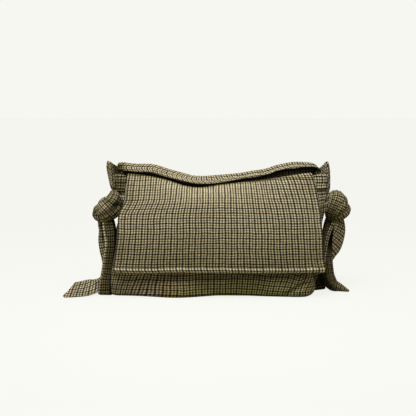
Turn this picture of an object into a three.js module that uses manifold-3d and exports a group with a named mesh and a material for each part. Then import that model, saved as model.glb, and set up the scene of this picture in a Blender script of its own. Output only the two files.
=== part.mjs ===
// A small wool knot bag: a lined, flap-over body that stands on its base, a strap that lies over its top,
// and a pair of ties at each side that are knotted over the gusset and hang to the floor as tails.
// Millimetres, +Z up, front towards -Y. The origin is the middle of the base, on the floor.

import * as THREE from 'three';
import { mergeVertices } from 'three/addons/utils/BufferGeometryUtils.js';
import Module from 'manifold-3d';

const wasm = await Module();
wasm.setup();

// Driving dimensions of the body
const bodyHalfWidth = 141;
const mouthHalfWidth = 131;
const baseHalfDepth = 43;
const mouthFrontDepth = 15;
const mouthBackDepth = 24;
const shoulderHeight = 166;
const mouthSag = 13;
const frontRimDrop = 10;
const bellyFront = 8;
const bellyBack = 4;
const edgeDrop = 4;
const baseTuck = 5;
const tuckHeight = 6;
const cornerRadius = 18;
const footCorner = 8;
const frontFullness = 1.6;

// Cloth, lining and the board in the base
const clothThickness = 2.4;
const liningThickness = 1;
const boardThickness = 2.5;
const seamGap = 0.4;
const liningGap = 0.7;
const boardInset = 5;

// Linings stop short of the cloth's edges: shares of its width and height, from first to last
const panelLiningShare = [0.035, 0.965, 0.16, 0.99];
const gussetLiningShare = [0.14, 0.86, 0.16, 0.82];
const flapLiningShare = [0.02, 0.98, 0.05, 0.97];

// Gussets and the pleats that stand up as ears above the knots; ear shares are of the gusset's depth
const gussetBulge = 6;
const gussetFullness = 0.8;
const gussetFrontTop = 155;
const gussetTop = 165;
const earRise = 18;
const earReach = 12;
const earPleat = 0.17;
const earWidth = 0.15;
const earPlace = 0.52;
const earStart = 118;

// Flap
const flapDrop = 37;
const flapRootHalfWidth = 120;
const flapTopHalfWidth = 129;
const flapBottomHalfWidth = 147;
const flapCorner = 9;
const browRise = 2;
const lipRun = 12;
const lipRise = 12;
const crownRise = 4;
const crownSag = 7;
const napeRun = 9;
const napeRise = 3;
const seamStripHeight = 14;

// Line on which the flap and the strap turn, along X behind the back panel's top edge
const hingeHeight = 163;
const hingeBead = clothThickness / 2 + liningThickness / 2;

// Strap and ties are made of the same strip
const stripWidth = 26;
const stripThickness = 4;
const strapTabWidth = 15;
const strapTabLength = 28;
const strapTabGap = 2.5;
const strapShoulderRow = 0.765;
const strapMiddleRow = 0.71;
const strapLegRise = 10;

// Knots and tails
const knotHeight = 123;
const knotClearance = 0.8;
const knotBand = 19;
const knotLayer = 5;
const knotStep = 0.6;
const bightRadius = 8;
const tieWidth = 17;
const tieSlack = 1.7;
const neckRadius = 5;
const floorClearance = 1.2;

// Magnet snap sewn under the flap
const magnetRadius = 9;
const magnetThickness = 2;
const magnetHeight = 62;

const wool = { color: '#7c745a', roughness: 0.95, metalness: 0 };
const woolDark = { color: '#6b644c', roughness: 0.95, metalness: 0 };
const lining = { color: '#5b503d', roughness: 0.8, metalness: 0 };
const board = { color: '#b9a98a', roughness: 0.85, metalness: 0 };
const metal = { color: '#b9b7b0', roughness: 0.35, metalness: 1 };

const mix = THREE.MathUtils.lerp;
const clamp = THREE.MathUtils.clamp;
const bump = (t, spread) => Math.exp(-((t / spread) ** 2));
const vec = (x, y, z) => new THREE.Vector3(x, y, z);

// A moving piece hangs in a group whose place is the point that it turns about.
function jointAt(parent, pivot) {
  const joint = new THREE.Group();
  joint.position.copy(pivot).sub(parent.userData.pivot);
  joint.userData.pivot = pivot;
  parent.add(joint);
  return joint;
}

// Adds a piece that is drawn in the bag's own frame.
function addPiece(parent, name, geometry, finish) {
  const { x, y, z } = parent.userData.pivot;
  geometry.translate(-x, -y, -z);
  const mesh = new THREE.Mesh(geometry, new THREE.MeshStandardMaterial(finish));
  mesh.name = name;
  parent.add(mesh);
}

const bag = new THREE.Group();
bag.userData.pivot = vec(0, 0, 0);

// Closed solid between two faces that share one grid of columns and rows.
// The outer face looks along the cross product of its column and row directions.
function sheetSolid(outer, inner, columns, rows) {
  const points = [];
  for (const face of [outer, inner]) {
    for (let j = 0; j <= rows; j += 1) {
      for (let i = 0; i <= columns; i += 1) points.push(face(i / columns, j / rows));
    }
  }
  const layer = (columns + 1) * (rows + 1);
  const at = (i, j) => j * (columns + 1) + i;
  const index = [];
  for (let j = 0; j < rows; j += 1) {
    for (let i = 0; i < columns; i += 1) {
      const [a, b, c, d] = [at(i, j), at(i + 1, j), at(i + 1, j + 1), at(i, j + 1)];
      index.push(a, b, c, a, c, d);
      index.push(layer + a, layer + c, layer + b, layer + a, layer + d, layer + c);
    }
  }
  const rim = [];
  for (let i = 0; i < columns; i += 1) rim.push(at(i, 0));
  for (let j = 0; j < rows; j += 1) rim.push(at(columns, j));
  for (let i = columns; i > 0; i -= 1) rim.push(at(i, rows));
  for (let j = rows; j > 0; j -= 1) rim.push(at(0, j));
  rim.forEach((a, k) => {
    const b = rim[(k + 1) % rim.length];
    index.push(b, a, layer + a, b, layer + a, layer + b);
  });
  const geometry = new THREE.BufferGeometry().setFromPoints(points);
  geometry.setIndex(index);
  return geometry;
}

// The face that lies a given depth behind another, along its normals.
function behind(face, depth) {
  const step = 1e-3;
  return (u, v) => {
    const [u0, u1] = [Math.max(u - step, 0), Math.min(u + step, 1)];
    const [v0, v1] = [Math.max(v - step, 0), Math.min(v + step, 1)];
    const across = face(u1, v).sub(face(u0, v));
    const along = face(u, v1).sub(face(u, v0));
    const normal = across.cross(along).normalize();
    return face(u, v).addScaledVector(normal, -depth);
  };
}

// Part of a face, between shares of its columns and rows.
const within = (face, u0, u1, v0, v1) => (u, v) => face(mix(u0, u1, u), mix(v0, v1, v));

// Strip of cloth carried along stations, each with a centre, the way its face looks and its half sizes.
// The section is an ellipse squared off towards a rounded band, and both ends are rounded over.
const sectionSides = 10;
const sectionSquareness = 0.55;
const sectionReach = Math.SQRT2 * Math.SQRT1_2 ** sectionSquareness;
function stripSolid(stations) {
  const points = [];
  const index = [];
  const squared = (value) => Math.sign(value) * Math.abs(value) ** sectionSquareness;
  stations.forEach((station, k) => {
    const before = stations[Math.max(k - 1, 0)].centre;
    const after = stations[Math.min(k + 1, stations.length - 1)].centre;
    const run = after.clone().sub(before).normalize();
    const across = station.face.clone().cross(run).normalize();
    const face = run.clone().cross(across).normalize();
    for (let side = 0; side < sectionSides; side += 1) {
      const turn = (side / sectionSides) * 2 * Math.PI;
      points.push(station.centre.clone()
        .addScaledVector(across, station.halfWidth * squared(Math.cos(turn)))
        .addScaledVector(face, station.halfThickness * squared(Math.sin(turn))));
    }
  });
  for (let k = 0; k + 1 < stations.length; k += 1) {
    for (let side = 0; side < sectionSides; side += 1) {
      const next = (side + 1) % sectionSides;
      const [a, b] = [k * sectionSides + side, k * sectionSides + next];
      index.push(a, b, b + sectionSides, a, b + sectionSides, a + sectionSides);
    }
  }
  const start = points.length;
  const last = (stations.length - 1) * sectionSides;
  points.push(stations[0].centre.clone(), stations.at(-1).centre.clone());
  for (let side = 0; side < sectionSides; side += 1) {
    const next = (side + 1) % sectionSides;
    index.push(start, next, side);
    index.push(start + 1, last + side, last + next);
  }
  const geometry = new THREE.BufferGeometry().setFromPoints(points);
  geometry.setIndex(index);
  return geometry;
}

// Stations along a smooth line through a few chosen ones; each holds place, face, width and thickness.
function stationsThrough(chosen, count) {
  const line = new THREE.CatmullRomCurve3(chosen.map((one) => one.place), false, 'centripetal');
  const stations = [];
  for (let k = 0; k <= count; k += 1) {
    const share = k / count;
    const slot = Math.min(Math.floor(share * (chosen.length - 1)), chosen.length - 2);
    const t = share * (chosen.length - 1) - slot;
    const [a, b] = [chosen[slot], chosen[slot + 1]];
    stations.push({
      centre: line.getPoint(share),
      face: a.face.clone().lerp(b.face, t).normalize(),
      halfWidth: mix(a.width, b.width, t) / 2,
      halfThickness: mix(a.thickness, b.thickness, t) / 2,
    });
  }
  return stations;
}

function toManifold(geometry) {
  const bare = new THREE.BufferGeometry().setAttribute('position', geometry.getAttribute('position'));
  if (geometry.index) bare.setIndex(geometry.index);
  const merged = mergeVertices(bare, 1e-4);
  const { array } = merged.getAttribute('position');
  return new wasm.Manifold(new wasm.Mesh({
    numProp: 3,
    vertProperties: new Float32Array(array),
    triVerts: new Uint32Array(merged.index.array),
  }));
}

function fromManifold(solid) {
  const mesh = solid.getMesh();
  const geometry = new THREE.BufferGeometry();
  geometry.setAttribute('position', new THREE.BufferAttribute(mesh.vertProperties, mesh.numProp));
  geometry.setIndex(new THREE.BufferAttribute(mesh.triVerts, 1));
  return geometry;
}

// Body surfaces: x runs to the right, z up, and each returns a point of the outer face.

// Share of the top's sag at a place across the bag: 1 in the middle, 0 at the shoulders.
const sagShare = (x) => Math.cos((clamp(x / mouthHalfWidth, -1, 1) * Math.PI) / 2) ** 2;

function halfWidthAt(z) {
  const taper = mix(bodyHalfWidth, mouthHalfWidth, clamp(z / shoulderHeight, 0, 1) ** 2);
  const below = clamp(1 - z / cornerRadius, 0, 1);
  return taper - cornerRadius * (1 - Math.sqrt(1 - below ** 2));
}

const rounding = (x, z) => edgeDrop * Math.abs(x / halfWidthAt(z)) ** 4;
const tuck = (z) => baseTuck * Math.exp(-z / tuckHeight);

function frontDepth(x, z) {
  const t = clamp(z / shoulderHeight, 0, 1);
  const plain = mix(baseHalfDepth, mouthFrontDepth, t ** frontFullness) + bellyFront * Math.sin(Math.PI * t);
  return plain - tuck(z) - rounding(x, z);
}

function backDepth(x, z) {
  const t = clamp(z / shoulderHeight, 0, 1);
  const plain = mix(baseHalfDepth, mouthBackDepth, t) + bellyBack * Math.sin(Math.PI * t);
  return plain - tuck(z) - rounding(x, z);
}

const wallBottom = clothThickness + seamGap;
const hingeY = backDepth(0, hingeHeight) + hingeBead + seamGap;
const backTop = hingeHeight - hingeBead - seamGap;
const frontTop = (x) => shoulderHeight - frontRimDrop - mouthSag * sagShare(x);
const rowCrowding = 1.4;
const rowSpacing = (v) => v ** rowCrowding;

function frontFace(u, v) {
  const share = 2 * u - 1;
  const z = mix(wallBottom, frontTop(share * mouthHalfWidth), rowSpacing(v));
  const x = share * halfWidthAt(z);
  return vec(x, -frontDepth(x, z), z);
}

function backFace(u, v) {
  const z = mix(wallBottom, backTop, rowSpacing(v));
  const x = (1 - 2 * u) * halfWidthAt(z);
  return vec(x, backDepth(x, z), z);
}

// Gusset: u runs from the front seam to the back one, side is -1 for the left and 1 for the right.
const seamTuck = clothThickness + 2 * seamGap;
const gussetFront = (z) => -frontDepth(halfWidthAt(z), z) + seamTuck;
const gussetBack = (z) => backDepth(halfWidthAt(z), z) - seamTuck;

function gussetRim(u) {
  const shoulder = mix(gussetFrontTop, gussetTop, THREE.MathUtils.smoothstep(u, 0, 0.3));
  const back = mix(shoulder, backTop, THREE.MathUtils.smoothstep(u, 0.7, 1));
  return back + earRise * bump(u - earPlace, earWidth);
}

function gussetReach(u, z, pleated) {
  const broad = gussetBulge * Math.sin(Math.PI * u) ** gussetFullness;
  const rise = THREE.MathUtils.smoothstep(z, earStart, gussetTop + earRise);
  const flare = (bodyHalfWidth - mouthHalfWidth) * Math.sin(Math.PI * u) * clamp(z / shoulderHeight, 0, 1) ** 2;
  return broad + flare + (pleated ? earReach * rise * bump(u - earPlace, earPleat) : 0);
}

function gussetFace(side, pleated) {
  return (u, v) => {
    const z = mix(wallBottom, gussetRim(u), rowSpacing(v));
    const x = halfWidthAt(Math.min(z, shoulderHeight)) - seamGap + gussetReach(u, z, pleated);
    const level = Math.min(z, shoulderHeight);
    return vec(side * x, mix(gussetFront(level), gussetBack(level), u), z);
  };
}

// Outer face of a gusset with its columns ordered so that it looks away from the bag.
const facing = (side, face) => (u, v) => face(side > 0 ? u : 1 - u, v);

function roundedPlate(halfX, halfY, corner, bottom, thickness) {
  const shape = new THREE.Shape();
  shape.moveTo(-halfX + corner, -halfY);
  shape.lineTo(halfX - corner, -halfY);
  shape.absarc(halfX - corner, -halfY + corner, corner, -Math.PI / 2, 0);
  shape.lineTo(halfX, halfY - corner);
  shape.absarc(halfX - corner, halfY - corner, corner, 0, Math.PI / 2);
  shape.lineTo(-halfX + corner, halfY);
  shape.absarc(-halfX + corner, halfY - corner, corner, Math.PI / 2, Math.PI);
  shape.lineTo(-halfX, -halfY + corner);
  shape.absarc(-halfX + corner, -halfY + corner, corner, Math.PI, 1.5 * Math.PI);
  const options = { depth: thickness, bevelEnabled: false, curveSegments: 5 };
  return new THREE.ExtrudeGeometry(shape, options).translate(0, 0, bottom);
}

// Outer panels

addPiece(bag, 'front_panel', sheetSolid(frontFace, behind(frontFace, clothThickness), 16, 12), wool);
addPiece(bag, 'back_panel', sheetSolid(backFace, behind(backFace, clothThickness), 14, 10), wool);

const footHalfX = halfWidthAt(wallBottom);
const footHalfY = frontDepth(0, wallBottom);
addPiece(bag, 'base_panel', roundedPlate(footHalfX, footHalfY, footCorner, 0, clothThickness), woolDark);

const boardHalfX = footHalfX - clothThickness - boardInset;
const boardHalfY = footHalfY - clothThickness - boardInset;
const baseLiningBottom = wallBottom + boardThickness + seamGap;
addPiece(bag, 'base_board',
  roundedPlate(boardHalfX, boardHalfY, footCorner, wallBottom, boardThickness), board);
addPiece(bag, 'base_lining',
  roundedPlate(boardHalfX, boardHalfY, footCorner, baseLiningBottom, liningThickness), lining);

for (const [name, side] of [['left', -1], ['right', 1]]) {
  const outer = facing(side, gussetFace(side, true));
  const inner = (u, v) => outer(u, v).add(vec(-side * clothThickness, 0, 0));
  addPiece(bag, `${name}_gusset`, sheetSolid(outer, inner, 16, 11), woolDark);

  const plain = within(facing(side, gussetFace(side, false)), ...gussetLiningShare);
  const inside = (depth) => (u, v) => plain(u, v).add(vec(-side * depth, 0, 0));
  const near = clothThickness + liningGap;
  addPiece(bag, `${name}_lining`, sheetSolid(inside(near), inside(near + liningThickness), 8, 8), lining);
}

// Linings of the front and back, a seam's gap behind the cloth and clear of the side linings
for (const [name, face] of [['front', frontFace], ['back', backFace]]) {
  const near = within(behind(face, clothThickness + seamGap), ...panelLiningShare);
  addPiece(bag, `${name}_lining`, sheetSolid(near, behind(near, liningThickness), 16, 10), lining);
}

// Flap: each column is a smooth line from the free edge, up the front and over the top to the hinge line.

const flapClearance = 2 * magnetThickness + 4 * seamGap;
const flapStand = flapClearance + hingeBead + liningGap;
const crest = shoulderHeight + 2 * hingeBead;

function flapHalfWidth(z) {
  return mix(flapBottomHalfWidth, flapTopHalfWidth, clamp((z - flapDrop) / (shoulderHeight - flapDrop), 0, 1));
}

function flapLine(share) {
  const sag = sagShare(share * flapTopHalfWidth);
  const front = (up) => {
    const z = mix(flapDrop, shoulderHeight, up);
    return vec(share * flapHalfWidth(z), -frontDepth(share * halfWidthAt(z), z) - flapStand, z);
  };
  const rim = frontTop(share * mouthHalfWidth);
  const browY = -frontDepth(share * halfWidthAt(rim), rim) - flapStand;
  const top = (y, z) => {
    const reached = clamp((y - browY) / (hingeY - browY), 0, 1);
    return vec(share * mix(flapTopHalfWidth, flapRootHalfWidth, reached ** 2), y, z);
  };
  const crownY = mix(browY + lipRun, hingeY, 0.38);
  return new THREE.CatmullRomCurve3([
    front(0),
    front(0.2),
    front(0.42),
    front(0.64),
    top(browY, rim + browRise),
    top(browY + lipRun, rim + browRise + lipRise),
    top(crownY, crest + crownRise - crownSag * sag),
    top(hingeY - napeRun, mix(crest, hingeHeight + napeRise, sag)),
    top(hingeY, hingeHeight),
  ], false, 'centripetal');
}

const flapRowCrowding = 1.3;
const flapLines = new Map();
function flapMiddle(u, v) {
  if (!flapLines.has(u)) flapLines.set(u, flapLine(2 * u - 1));
  const place = flapLines.get(u).getPoint(v ** flapRowCrowding);
  const below = clamp(1 - (place.z - flapDrop) / flapCorner, 0, 1);
  place.x -= (2 * u - 1) * flapCorner * (1 - Math.sqrt(1 - below ** 2));
  return place;
}

const hingeLine = vec(0, hingeY, hingeHeight);
const flap = jointAt(bag, hingeLine);
const flapOuterFace = behind(flapMiddle, -hingeBead);
const flapInnerFace = behind(flapMiddle, clothThickness - hingeBead);
addPiece(flap, 'flap_outer', sheetSolid(flapOuterFace, flapInnerFace, 16, 18), wool);
const flapLiningOuter = within(behind(flapMiddle, clothThickness - hingeBead + liningGap), ...flapLiningShare);
const flapLiningInner = within(behind(flapMiddle, hingeBead + liningGap), ...flapLiningShare);
addPiece(flap, 'flap_lining', sheetSolid(flapLiningOuter, flapLiningInner, 16, 16), lining);

// Sewn edge of the flap and sewn ends of the strap, on the outside of the back panel below the hinge line
const sewnTop = backTop - seamGap;
function backStrip(x0, x1, length, thickness) {
  const lifted = (lift) => (u, v) => {
    const x = mix(x1, x0, u);
    const z = mix(sewnTop - length, sewnTop, v);
    return vec(x, backDepth(x, z) + seamGap + lift, z);
  };
  return sheetSolid(lifted(thickness), lifted(0), 8, 3);
}
addPiece(bag, 'flap_seam_strip',
  backStrip(-flapRootHalfWidth, flapRootHalfWidth, seamStripHeight, clothThickness), wool);
const tabInner = flapRootHalfWidth + strapTabGap;
const tabOuter = tabInner + strapTabWidth;
addPiece(bag, 'left_strap_tab', backStrip(-tabOuter, -tabInner, strapTabLength, clothThickness), wool);
addPiece(bag, 'right_strap_tab', backStrip(tabInner, tabOuter, strapTabLength, clothThickness), wool);

// Strap: lies along the flap's top and turns back over each shoulder to the hinge line.

const strapLift = stripThickness / 2 + seamGap;
const strapSpan = { from: 0.07, steps: 8 };
function strapStation(u) {
  const v = mix(strapShoulderRow, strapMiddleRow, sagShare((2 * u - 1) * flapTopHalfWidth));
  const place = flapOuterFace(u, v);
  const face = place.clone().sub(flapInnerFace(u, v)).normalize();
  place.addScaledVector(face, strapLift);
  return { place, face, width: stripWidth, thickness: stripThickness };
}
function strapLeg(side) {
  const shoulder = strapStation(side < 0 ? strapSpan.from : 1 - strapSpan.from).place;
  const tabX = (tabInner + tabOuter) / 2;
  return [
    {
      place: vec(side * tabX, hingeY, hingeHeight),
      face: vec(0, 0.6, 0.8),
      width: strapTabWidth - 1,
      thickness: 2 * hingeBead,
    },
    {
      place: vec(side * (tabX + 1), hingeY - strapLegRise, hingeHeight + strapLegRise),
      face: vec(side * 0.1, 0.6, 0.8),
      width: strapTabWidth + 1,
      thickness: stripThickness,
    },
    {
      place: vec(side * (tabX - 1), mix(hingeY, shoulder.y, 0.7), crest + strapLegRise),
      face: vec(side * 0.25, 0.2, 0.95),
      width: mix(strapTabWidth, stripWidth, 0.5),
      thickness: stripThickness,
    },
  ];
}
const strapStations = [...strapLeg(-1)];
for (let k = 0; k <= strapSpan.steps; k += 1) {
  strapStations.push(strapStation(mix(strapSpan.from, 1 - strapSpan.from, k / strapSpan.steps)));
}
strapStations.push(...strapLeg(1).reverse());
const strap = jointAt(flap, hingeLine);
addPiece(strap, 'strap', stripSolid(stationsThrough(strapStations, 3 * (strapStations.length - 1))), wool);

// Magnet snap: one half sewn to the front panel, its mate under the flap

const snapSeat = vec(0, -frontDepth(0, magnetHeight), magnetHeight);
const snapSlope = frontDepth(0, magnetHeight + 1) - frontDepth(0, magnetHeight - 1);
const snapWay = vec(0, -2, -snapSlope).normalize();
function snapHalf(lift) {
  const disc = new THREE.CylinderGeometry(magnetRadius, magnetRadius, magnetThickness, 32);
  disc.applyQuaternion(new THREE.Quaternion().setFromUnitVectors(vec(0, -1, 0), snapWay));
  const centre = snapSeat.clone().addScaledVector(snapWay, lift + magnetThickness / 2);
  return disc.translate(centre.x, centre.y, centre.z);
}
addPiece(bag, 'front_magnet', snapHalf(seamGap), metal);
addPiece(flap, 'flap_magnet', snapHalf(flapClearance - seamGap - magnetThickness), metal);

// Knots: a core of gathered cloth with two bands wound over it and a bight drawn out below.
// Directions are out from the bag, forward and up.

const knots = {
  left: {
    side: -1,
    forward: 18,
    size: vec(18, 16, 18),
    wraps: [[0.62, 0.1, 0.78], [0.9, 0.37, 0.21]],
    bight: [0.72, 0.1, -0.62],
  },
  right: {
    side: 1,
    forward: 4,
    size: vec(20, 17, 20),
    wraps: [[0.6, 0.15, 0.78], [0.9, -0.4, -0.13]],
    bight: [0.8, 0.1, -0.5],
  },
};

function gussetPoint(side, u, z) {
  const v = ((z - wallBottom) / (gussetRim(u) - wallBottom)) ** (1 / rowCrowding);
  return gussetFace(side, true)(u, v);
}

function gussetShare(y, z) {
  return clamp((y - gussetFront(z)) / (gussetBack(z) - gussetFront(z)), 0, 1);
}

const sideways = (side, [out, forward, up]) => vec(side * out, -forward, up).normalize();

// A flat band closed in a ring, its outside following a ball of the given radius.
function bandRing(radius, axis) {
  const section = [];
  const half = knotBand / 2;
  const onBall = (r, h) => new THREE.Vector2(Math.sqrt(r ** 2 - h ** 2), h);
  for (const share of [-1, -0.5, 0, 0.5, 1]) section.push(onBall(radius, share * half));
  for (const share of [1, 0, -1]) section.push(onBall(radius - knotLayer, share * half * 0.9));
  section.push(section[0].clone());
  const upright = vec(0, 1, 0);
  return new THREE.LatheGeometry(section, 22)
    .applyQuaternion(new THREE.Quaternion().setFromUnitVectors(upright, axis));
}

function knotSolid({ side, size, wraps, bight, centre }) {
  const drawnUp = (geometry) => toManifold(geometry.scale(1, size.y / size.x, size.z / size.x)
    .translate(centre.x, centre.y, centre.z));
  const ball = (radius) => new THREE.SphereGeometry(radius, 18, 12);
  let solid = drawnUp(ball(size.x - knotLayer / 2));
  wraps.forEach((way, under) => {
    solid = solid.add(drawnUp(bandRing(size.x - under * knotStep, sideways(side, way))));
  });
  const lump = sideways(side, bight).multiplyScalar(size.x - bightRadius);
  return solid.add(drawnUp(ball(bightRadius).translate(lump.x, lump.y, lump.z)));
}

// How far out a knot's centre lies so that its whole depth clears the bulge of the gusset
function knotReach({ side, forward, size }) {
  const reaches = [-0.7, -0.35, 0, 0.35, 0.7].map((share) => {
    const y = share * size.y - forward;
    const wall = side * gussetPoint(side, gussetShare(y, knotHeight), knotHeight).x;
    return wall + size.x * Math.sqrt(1 - share ** 2);
  });
  return Math.max(...reaches) + knotClearance;
}

for (const [name, knot] of Object.entries(knots)) {
  knot.centre = vec(knot.side * knotReach(knot), -knot.forward, knotHeight);
  knot.solid = knotSolid(knot);
  addPiece(bag, `${name}_knot`, fromManifold(knot.solid), wool);
}

// Ties: from each seam of the gusset across it to the knot, cut to seat on the knot

const tieLift = stripThickness / 2 + seamGap + tieSlack;
function tieSolid(knot, shares) {
  const grown = knot.solid
    .translate(knot.centre.clone().negate().toArray())
    .scale(1 + (2 * seamGap) / knot.size.x)
    .translate(knot.centre.toArray());
  const along = shares.map((u) => ({
    place: gussetPoint(knot.side, u, knotHeight).add(vec(knot.side * tieLift, 0, 0)),
    face: vec(knot.side, 0, 0),
    width: tieWidth,
    thickness: stripThickness,
  }));
  along.push({ ...along.at(-1), place: knot.centre.clone() });
  const strip = toManifold(stripSolid(stationsThrough(along, 3 * (along.length - 1))));
  return fromManifold(strip.subtract(grown));
}
addPiece(bag, 'left_front_tie', tieSolid(knots.left, [0.02, 0.08]), wool);
addPiece(bag, 'left_rear_tie', tieSolid(knots.left, [0.97, 0.8, 0.6, 0.45]), wool);
addPiece(bag, 'right_front_tie', tieSolid(knots.right, [0.02, 0.12, 0.22]), wool);
addPiece(bag, 'right_rear_tie', tieSolid(knots.right, [0.97, 0.87, 0.78]), wool);

// Tails: the loose ends of the ties, out of the underside of a knot and down to the floor.
// Each row is how far out, how far forward, the height as a share of the drop, then width, thickness and
// the way the cloth looks as out, forward and up.

const tails = [
  {
    name: 'left_front_tail',
    knot: knots.left,
    leaves: [0, 0.5, -0.86],
    rows: [
      [0, 0.5, 0.88, 14, 8, [0, 1, 0]],
      [-0.5, 1.5, 0.68, 16, 8, [0, 1, 0]],
      [0, 3, 0.4, 16, 7.5, [0, 1, 0]],
      [3, 5, 0.15, 17, 7, [0, 1, 0]],
      [4, 6, 0, 17, 6.5, [0, 1, 0]],
    ],
  },
  {
    name: 'left_rear_tail',
    knot: knots.left,
    leaves: [0.35, -0.35, -0.87],
    rows: [
      [1, 0, 0.86, 16, 7, [0, 1, 0]],
      [-1, 0, 0.58, 15, 6.5, [0, 1, 0]],
      [-2, 0, 0.34, 15, 6, [0, 1, 0.1]],
      [2, 4, 0.18, 18, 5.5, [-0.2, 0.9, 0.3]],
      [15, 15, 0.125, 20, 5, [-0.5, 0.7, 0.4]],
      [32, 28, 0.09, 15, 4.5, [-0.5, 0.7, 0.4]],
      [47, 37, 0.035, 3, 3, [-0.5, 0.7, 0.4]],
    ],
  },
  {
    name: 'right_front_tail',
    knot: knots.right,
    leaves: [0.05, 0.4, -0.9],
    rows: [
      [1.5, 0.5, 0.86, 20, 9, [0, 1, 0]],
      [-4, 1, 0.6, 17, 8, [0, 1, 0]],
      [-8, 1.5, 0.41, 14, 7, [0, 1, 0]],
      [-6.5, 2, 0.24, 15, 6.5, [0, 1, 0]],
      [2, 3.5, 0.12, 17, 6, [0, 1, 0.2]],
      [15, 5, 0.05, 6, 4, [0, 1, 0.3]],
    ],
  },
  {
    name: 'right_rear_tail',
    knot: knots.right,
    leaves: [-0.3, -0.4, -0.87],
    rows: [
      [-1, 0.5, 0.86, 13, 7.5, [1, 0, 0]],
      [-4, 2, 0.55, 15, 7, [1, 0, 0]],
      [-6, 4, 0.25, 15, 6.5, [1, 0, 0]],
      [-6.5, 5, 0, 15, 6, [1, 0, 0]],
    ],
  },
];

// Where a tail turns under its knot: a neck radius and a gap off the under band
function tailPivot({ knot, leaves }) {
  const size = knot.size.clone().multiplyScalar(1 - knotStep / knot.size.x);
  const way = sideways(knot.side, leaves);
  const skin = way.clone().divideScalar(way.clone().divide(size).length());
  const normal = skin.clone().divide(size).divide(size).normalize();
  return knot.centre.clone().add(skin).addScaledVector(normal, neckRadius + seamGap);
}

for (const tail of tails) {
  const pivot = tailPivot(tail);
  const { side } = tail.knot;
  const neck = 2 * neckRadius / sectionReach;
  const look = (out, forward, up) => vec(side * out, -forward, up);
  const first = look(...tail.rows[0][5]);
  const chosen = [[0.92, 0.38], [0.6, 0.8], [0, 1]].map(([up, share]) => ({
    place: pivot.clone().add(vec(0, 0, up * neckRadius)),
    face: first,
    width: neck * share,
    thickness: neck * share,
  }));
  for (const [out, forward, height, width, thickness, way] of tail.rows) {
    const z = mix(floorClearance, pivot.z, height);
    chosen.push({ place: vec(pivot.x + side * out, pivot.y - forward, z), face: look(...way), width, thickness });
  }
  addPiece(jointAt(bag, pivot), tail.name, stripSolid(stationsThrough(chosen, 3 * (chosen.length - 1))), wool);
}

export default bag;
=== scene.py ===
import math

import bmesh
import bpy
import numpy as np
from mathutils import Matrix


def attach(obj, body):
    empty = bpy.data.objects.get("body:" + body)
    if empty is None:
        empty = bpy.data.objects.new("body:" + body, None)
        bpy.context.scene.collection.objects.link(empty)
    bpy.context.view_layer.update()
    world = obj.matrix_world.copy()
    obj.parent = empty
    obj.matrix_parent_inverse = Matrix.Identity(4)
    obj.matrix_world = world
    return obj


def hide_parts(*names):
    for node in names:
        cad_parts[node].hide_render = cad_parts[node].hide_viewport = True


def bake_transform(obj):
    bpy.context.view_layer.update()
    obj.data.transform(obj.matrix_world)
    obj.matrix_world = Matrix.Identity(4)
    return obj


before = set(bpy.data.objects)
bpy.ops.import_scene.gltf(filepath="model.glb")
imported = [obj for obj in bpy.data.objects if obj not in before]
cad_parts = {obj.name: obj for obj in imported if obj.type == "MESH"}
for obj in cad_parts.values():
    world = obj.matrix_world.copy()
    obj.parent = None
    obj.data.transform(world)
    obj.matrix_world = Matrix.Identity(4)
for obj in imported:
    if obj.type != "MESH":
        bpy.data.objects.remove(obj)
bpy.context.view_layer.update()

scene = bpy.context.scene
millimetre = 0.001   # every shape below is worked out in millimetres, +Z up, front towards -Y
joinWithin = 2e-6    # points of a piece that are closer, in metres, become one
thinnest = 1e-7      # shorter edges are dropped


# a at 0, b at 1 and straight between them
def mix(a, b, t):
    return a + (b - a) * t


# 0 below a, 1 above b, with an S-shaped rise between them
def rise(a, b, t):
    t = np.clip((t - a) / (b - a), 0, 1)
    return t * t * (3 - 2 * t)


# a bell, 1 at 0 and nearly 0 at twice the spread
def bell(t, spread):
    return np.exp(-(t / spread) ** 2)


# 0 at 0 and 1 from the reach on, rising by a quarter circle
def arc(t, reach):
    return np.sqrt(1 - np.clip(1 - t / reach, 0, 1) ** 2)


# a number as it stands, or what a formula gives at these places
def given(value, *places):
    return value(*places) if callable(value) else value


# smooth line through chosen values: cubics whose slope at each place is that of its neighbours
def through(places, values, t):
    places = np.asarray(places, float)
    values = np.asarray(values, float)
    slopes = np.gradient(values, places, axis=0)
    t = np.clip(np.asarray(t, float), places[0], places[-1])
    k = np.clip(np.searchsorted(places, t, side="right") - 1, 0, len(places) - 2)
    h = places[k + 1] - places[k]
    s = (t - places[k]) / h
    if values.ndim > 1:
        s, h = (x.reshape(x.shape + (1,) * (values.ndim - 1)) for x in (s, h))
    start = (1 + 2 * s) * (1 - s) ** 2 * values[k] + s * (1 - s) ** 2 * h * slopes[k]
    return start + s * s * (3 - 2 * s) * values[k + 1] + s * s * (s - 1) * h * slopes[k + 1]


# the same through rows that each hold a place and a value
def throughRows(rows, t):
    return through(*np.array(rows).T, t)


# directions brought to a length of 1
def unit(v):
    return v / np.maximum(np.linalg.norm(v, axis=-1, keepdims=True), 1e-9)


# normals of a grid of points: the cross product of its column and row directions
def gridNormals(points):
    return unit(np.cross(np.gradient(points, axis=1), np.gradient(points, axis=0)))


# running sum of the steps along one axis of a line or a grid, 0 at its start
def runLength(points, axis):
    steps = np.linalg.norm(np.diff(points, axis=axis), axis=-1)
    first = np.zeros_like(np.take(steps, [0], axis=axis))
    return np.concatenate([first, np.cumsum(steps, axis=axis)], axis=axis)


# a grid with its first column once more at its end
def closed(grid):
    return np.concatenate([grid, grid[:, :1]], 1)


# one grid of a piece: points in rows and columns, the cloth's own coordinates, whether its columns close to
# a ring, and the marks: fade, and the painted shade
def patch(points, weave, ring=False, **marks):
    return {"points": points, "weave": weave, "ring": ring, "marks": marks}


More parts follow.
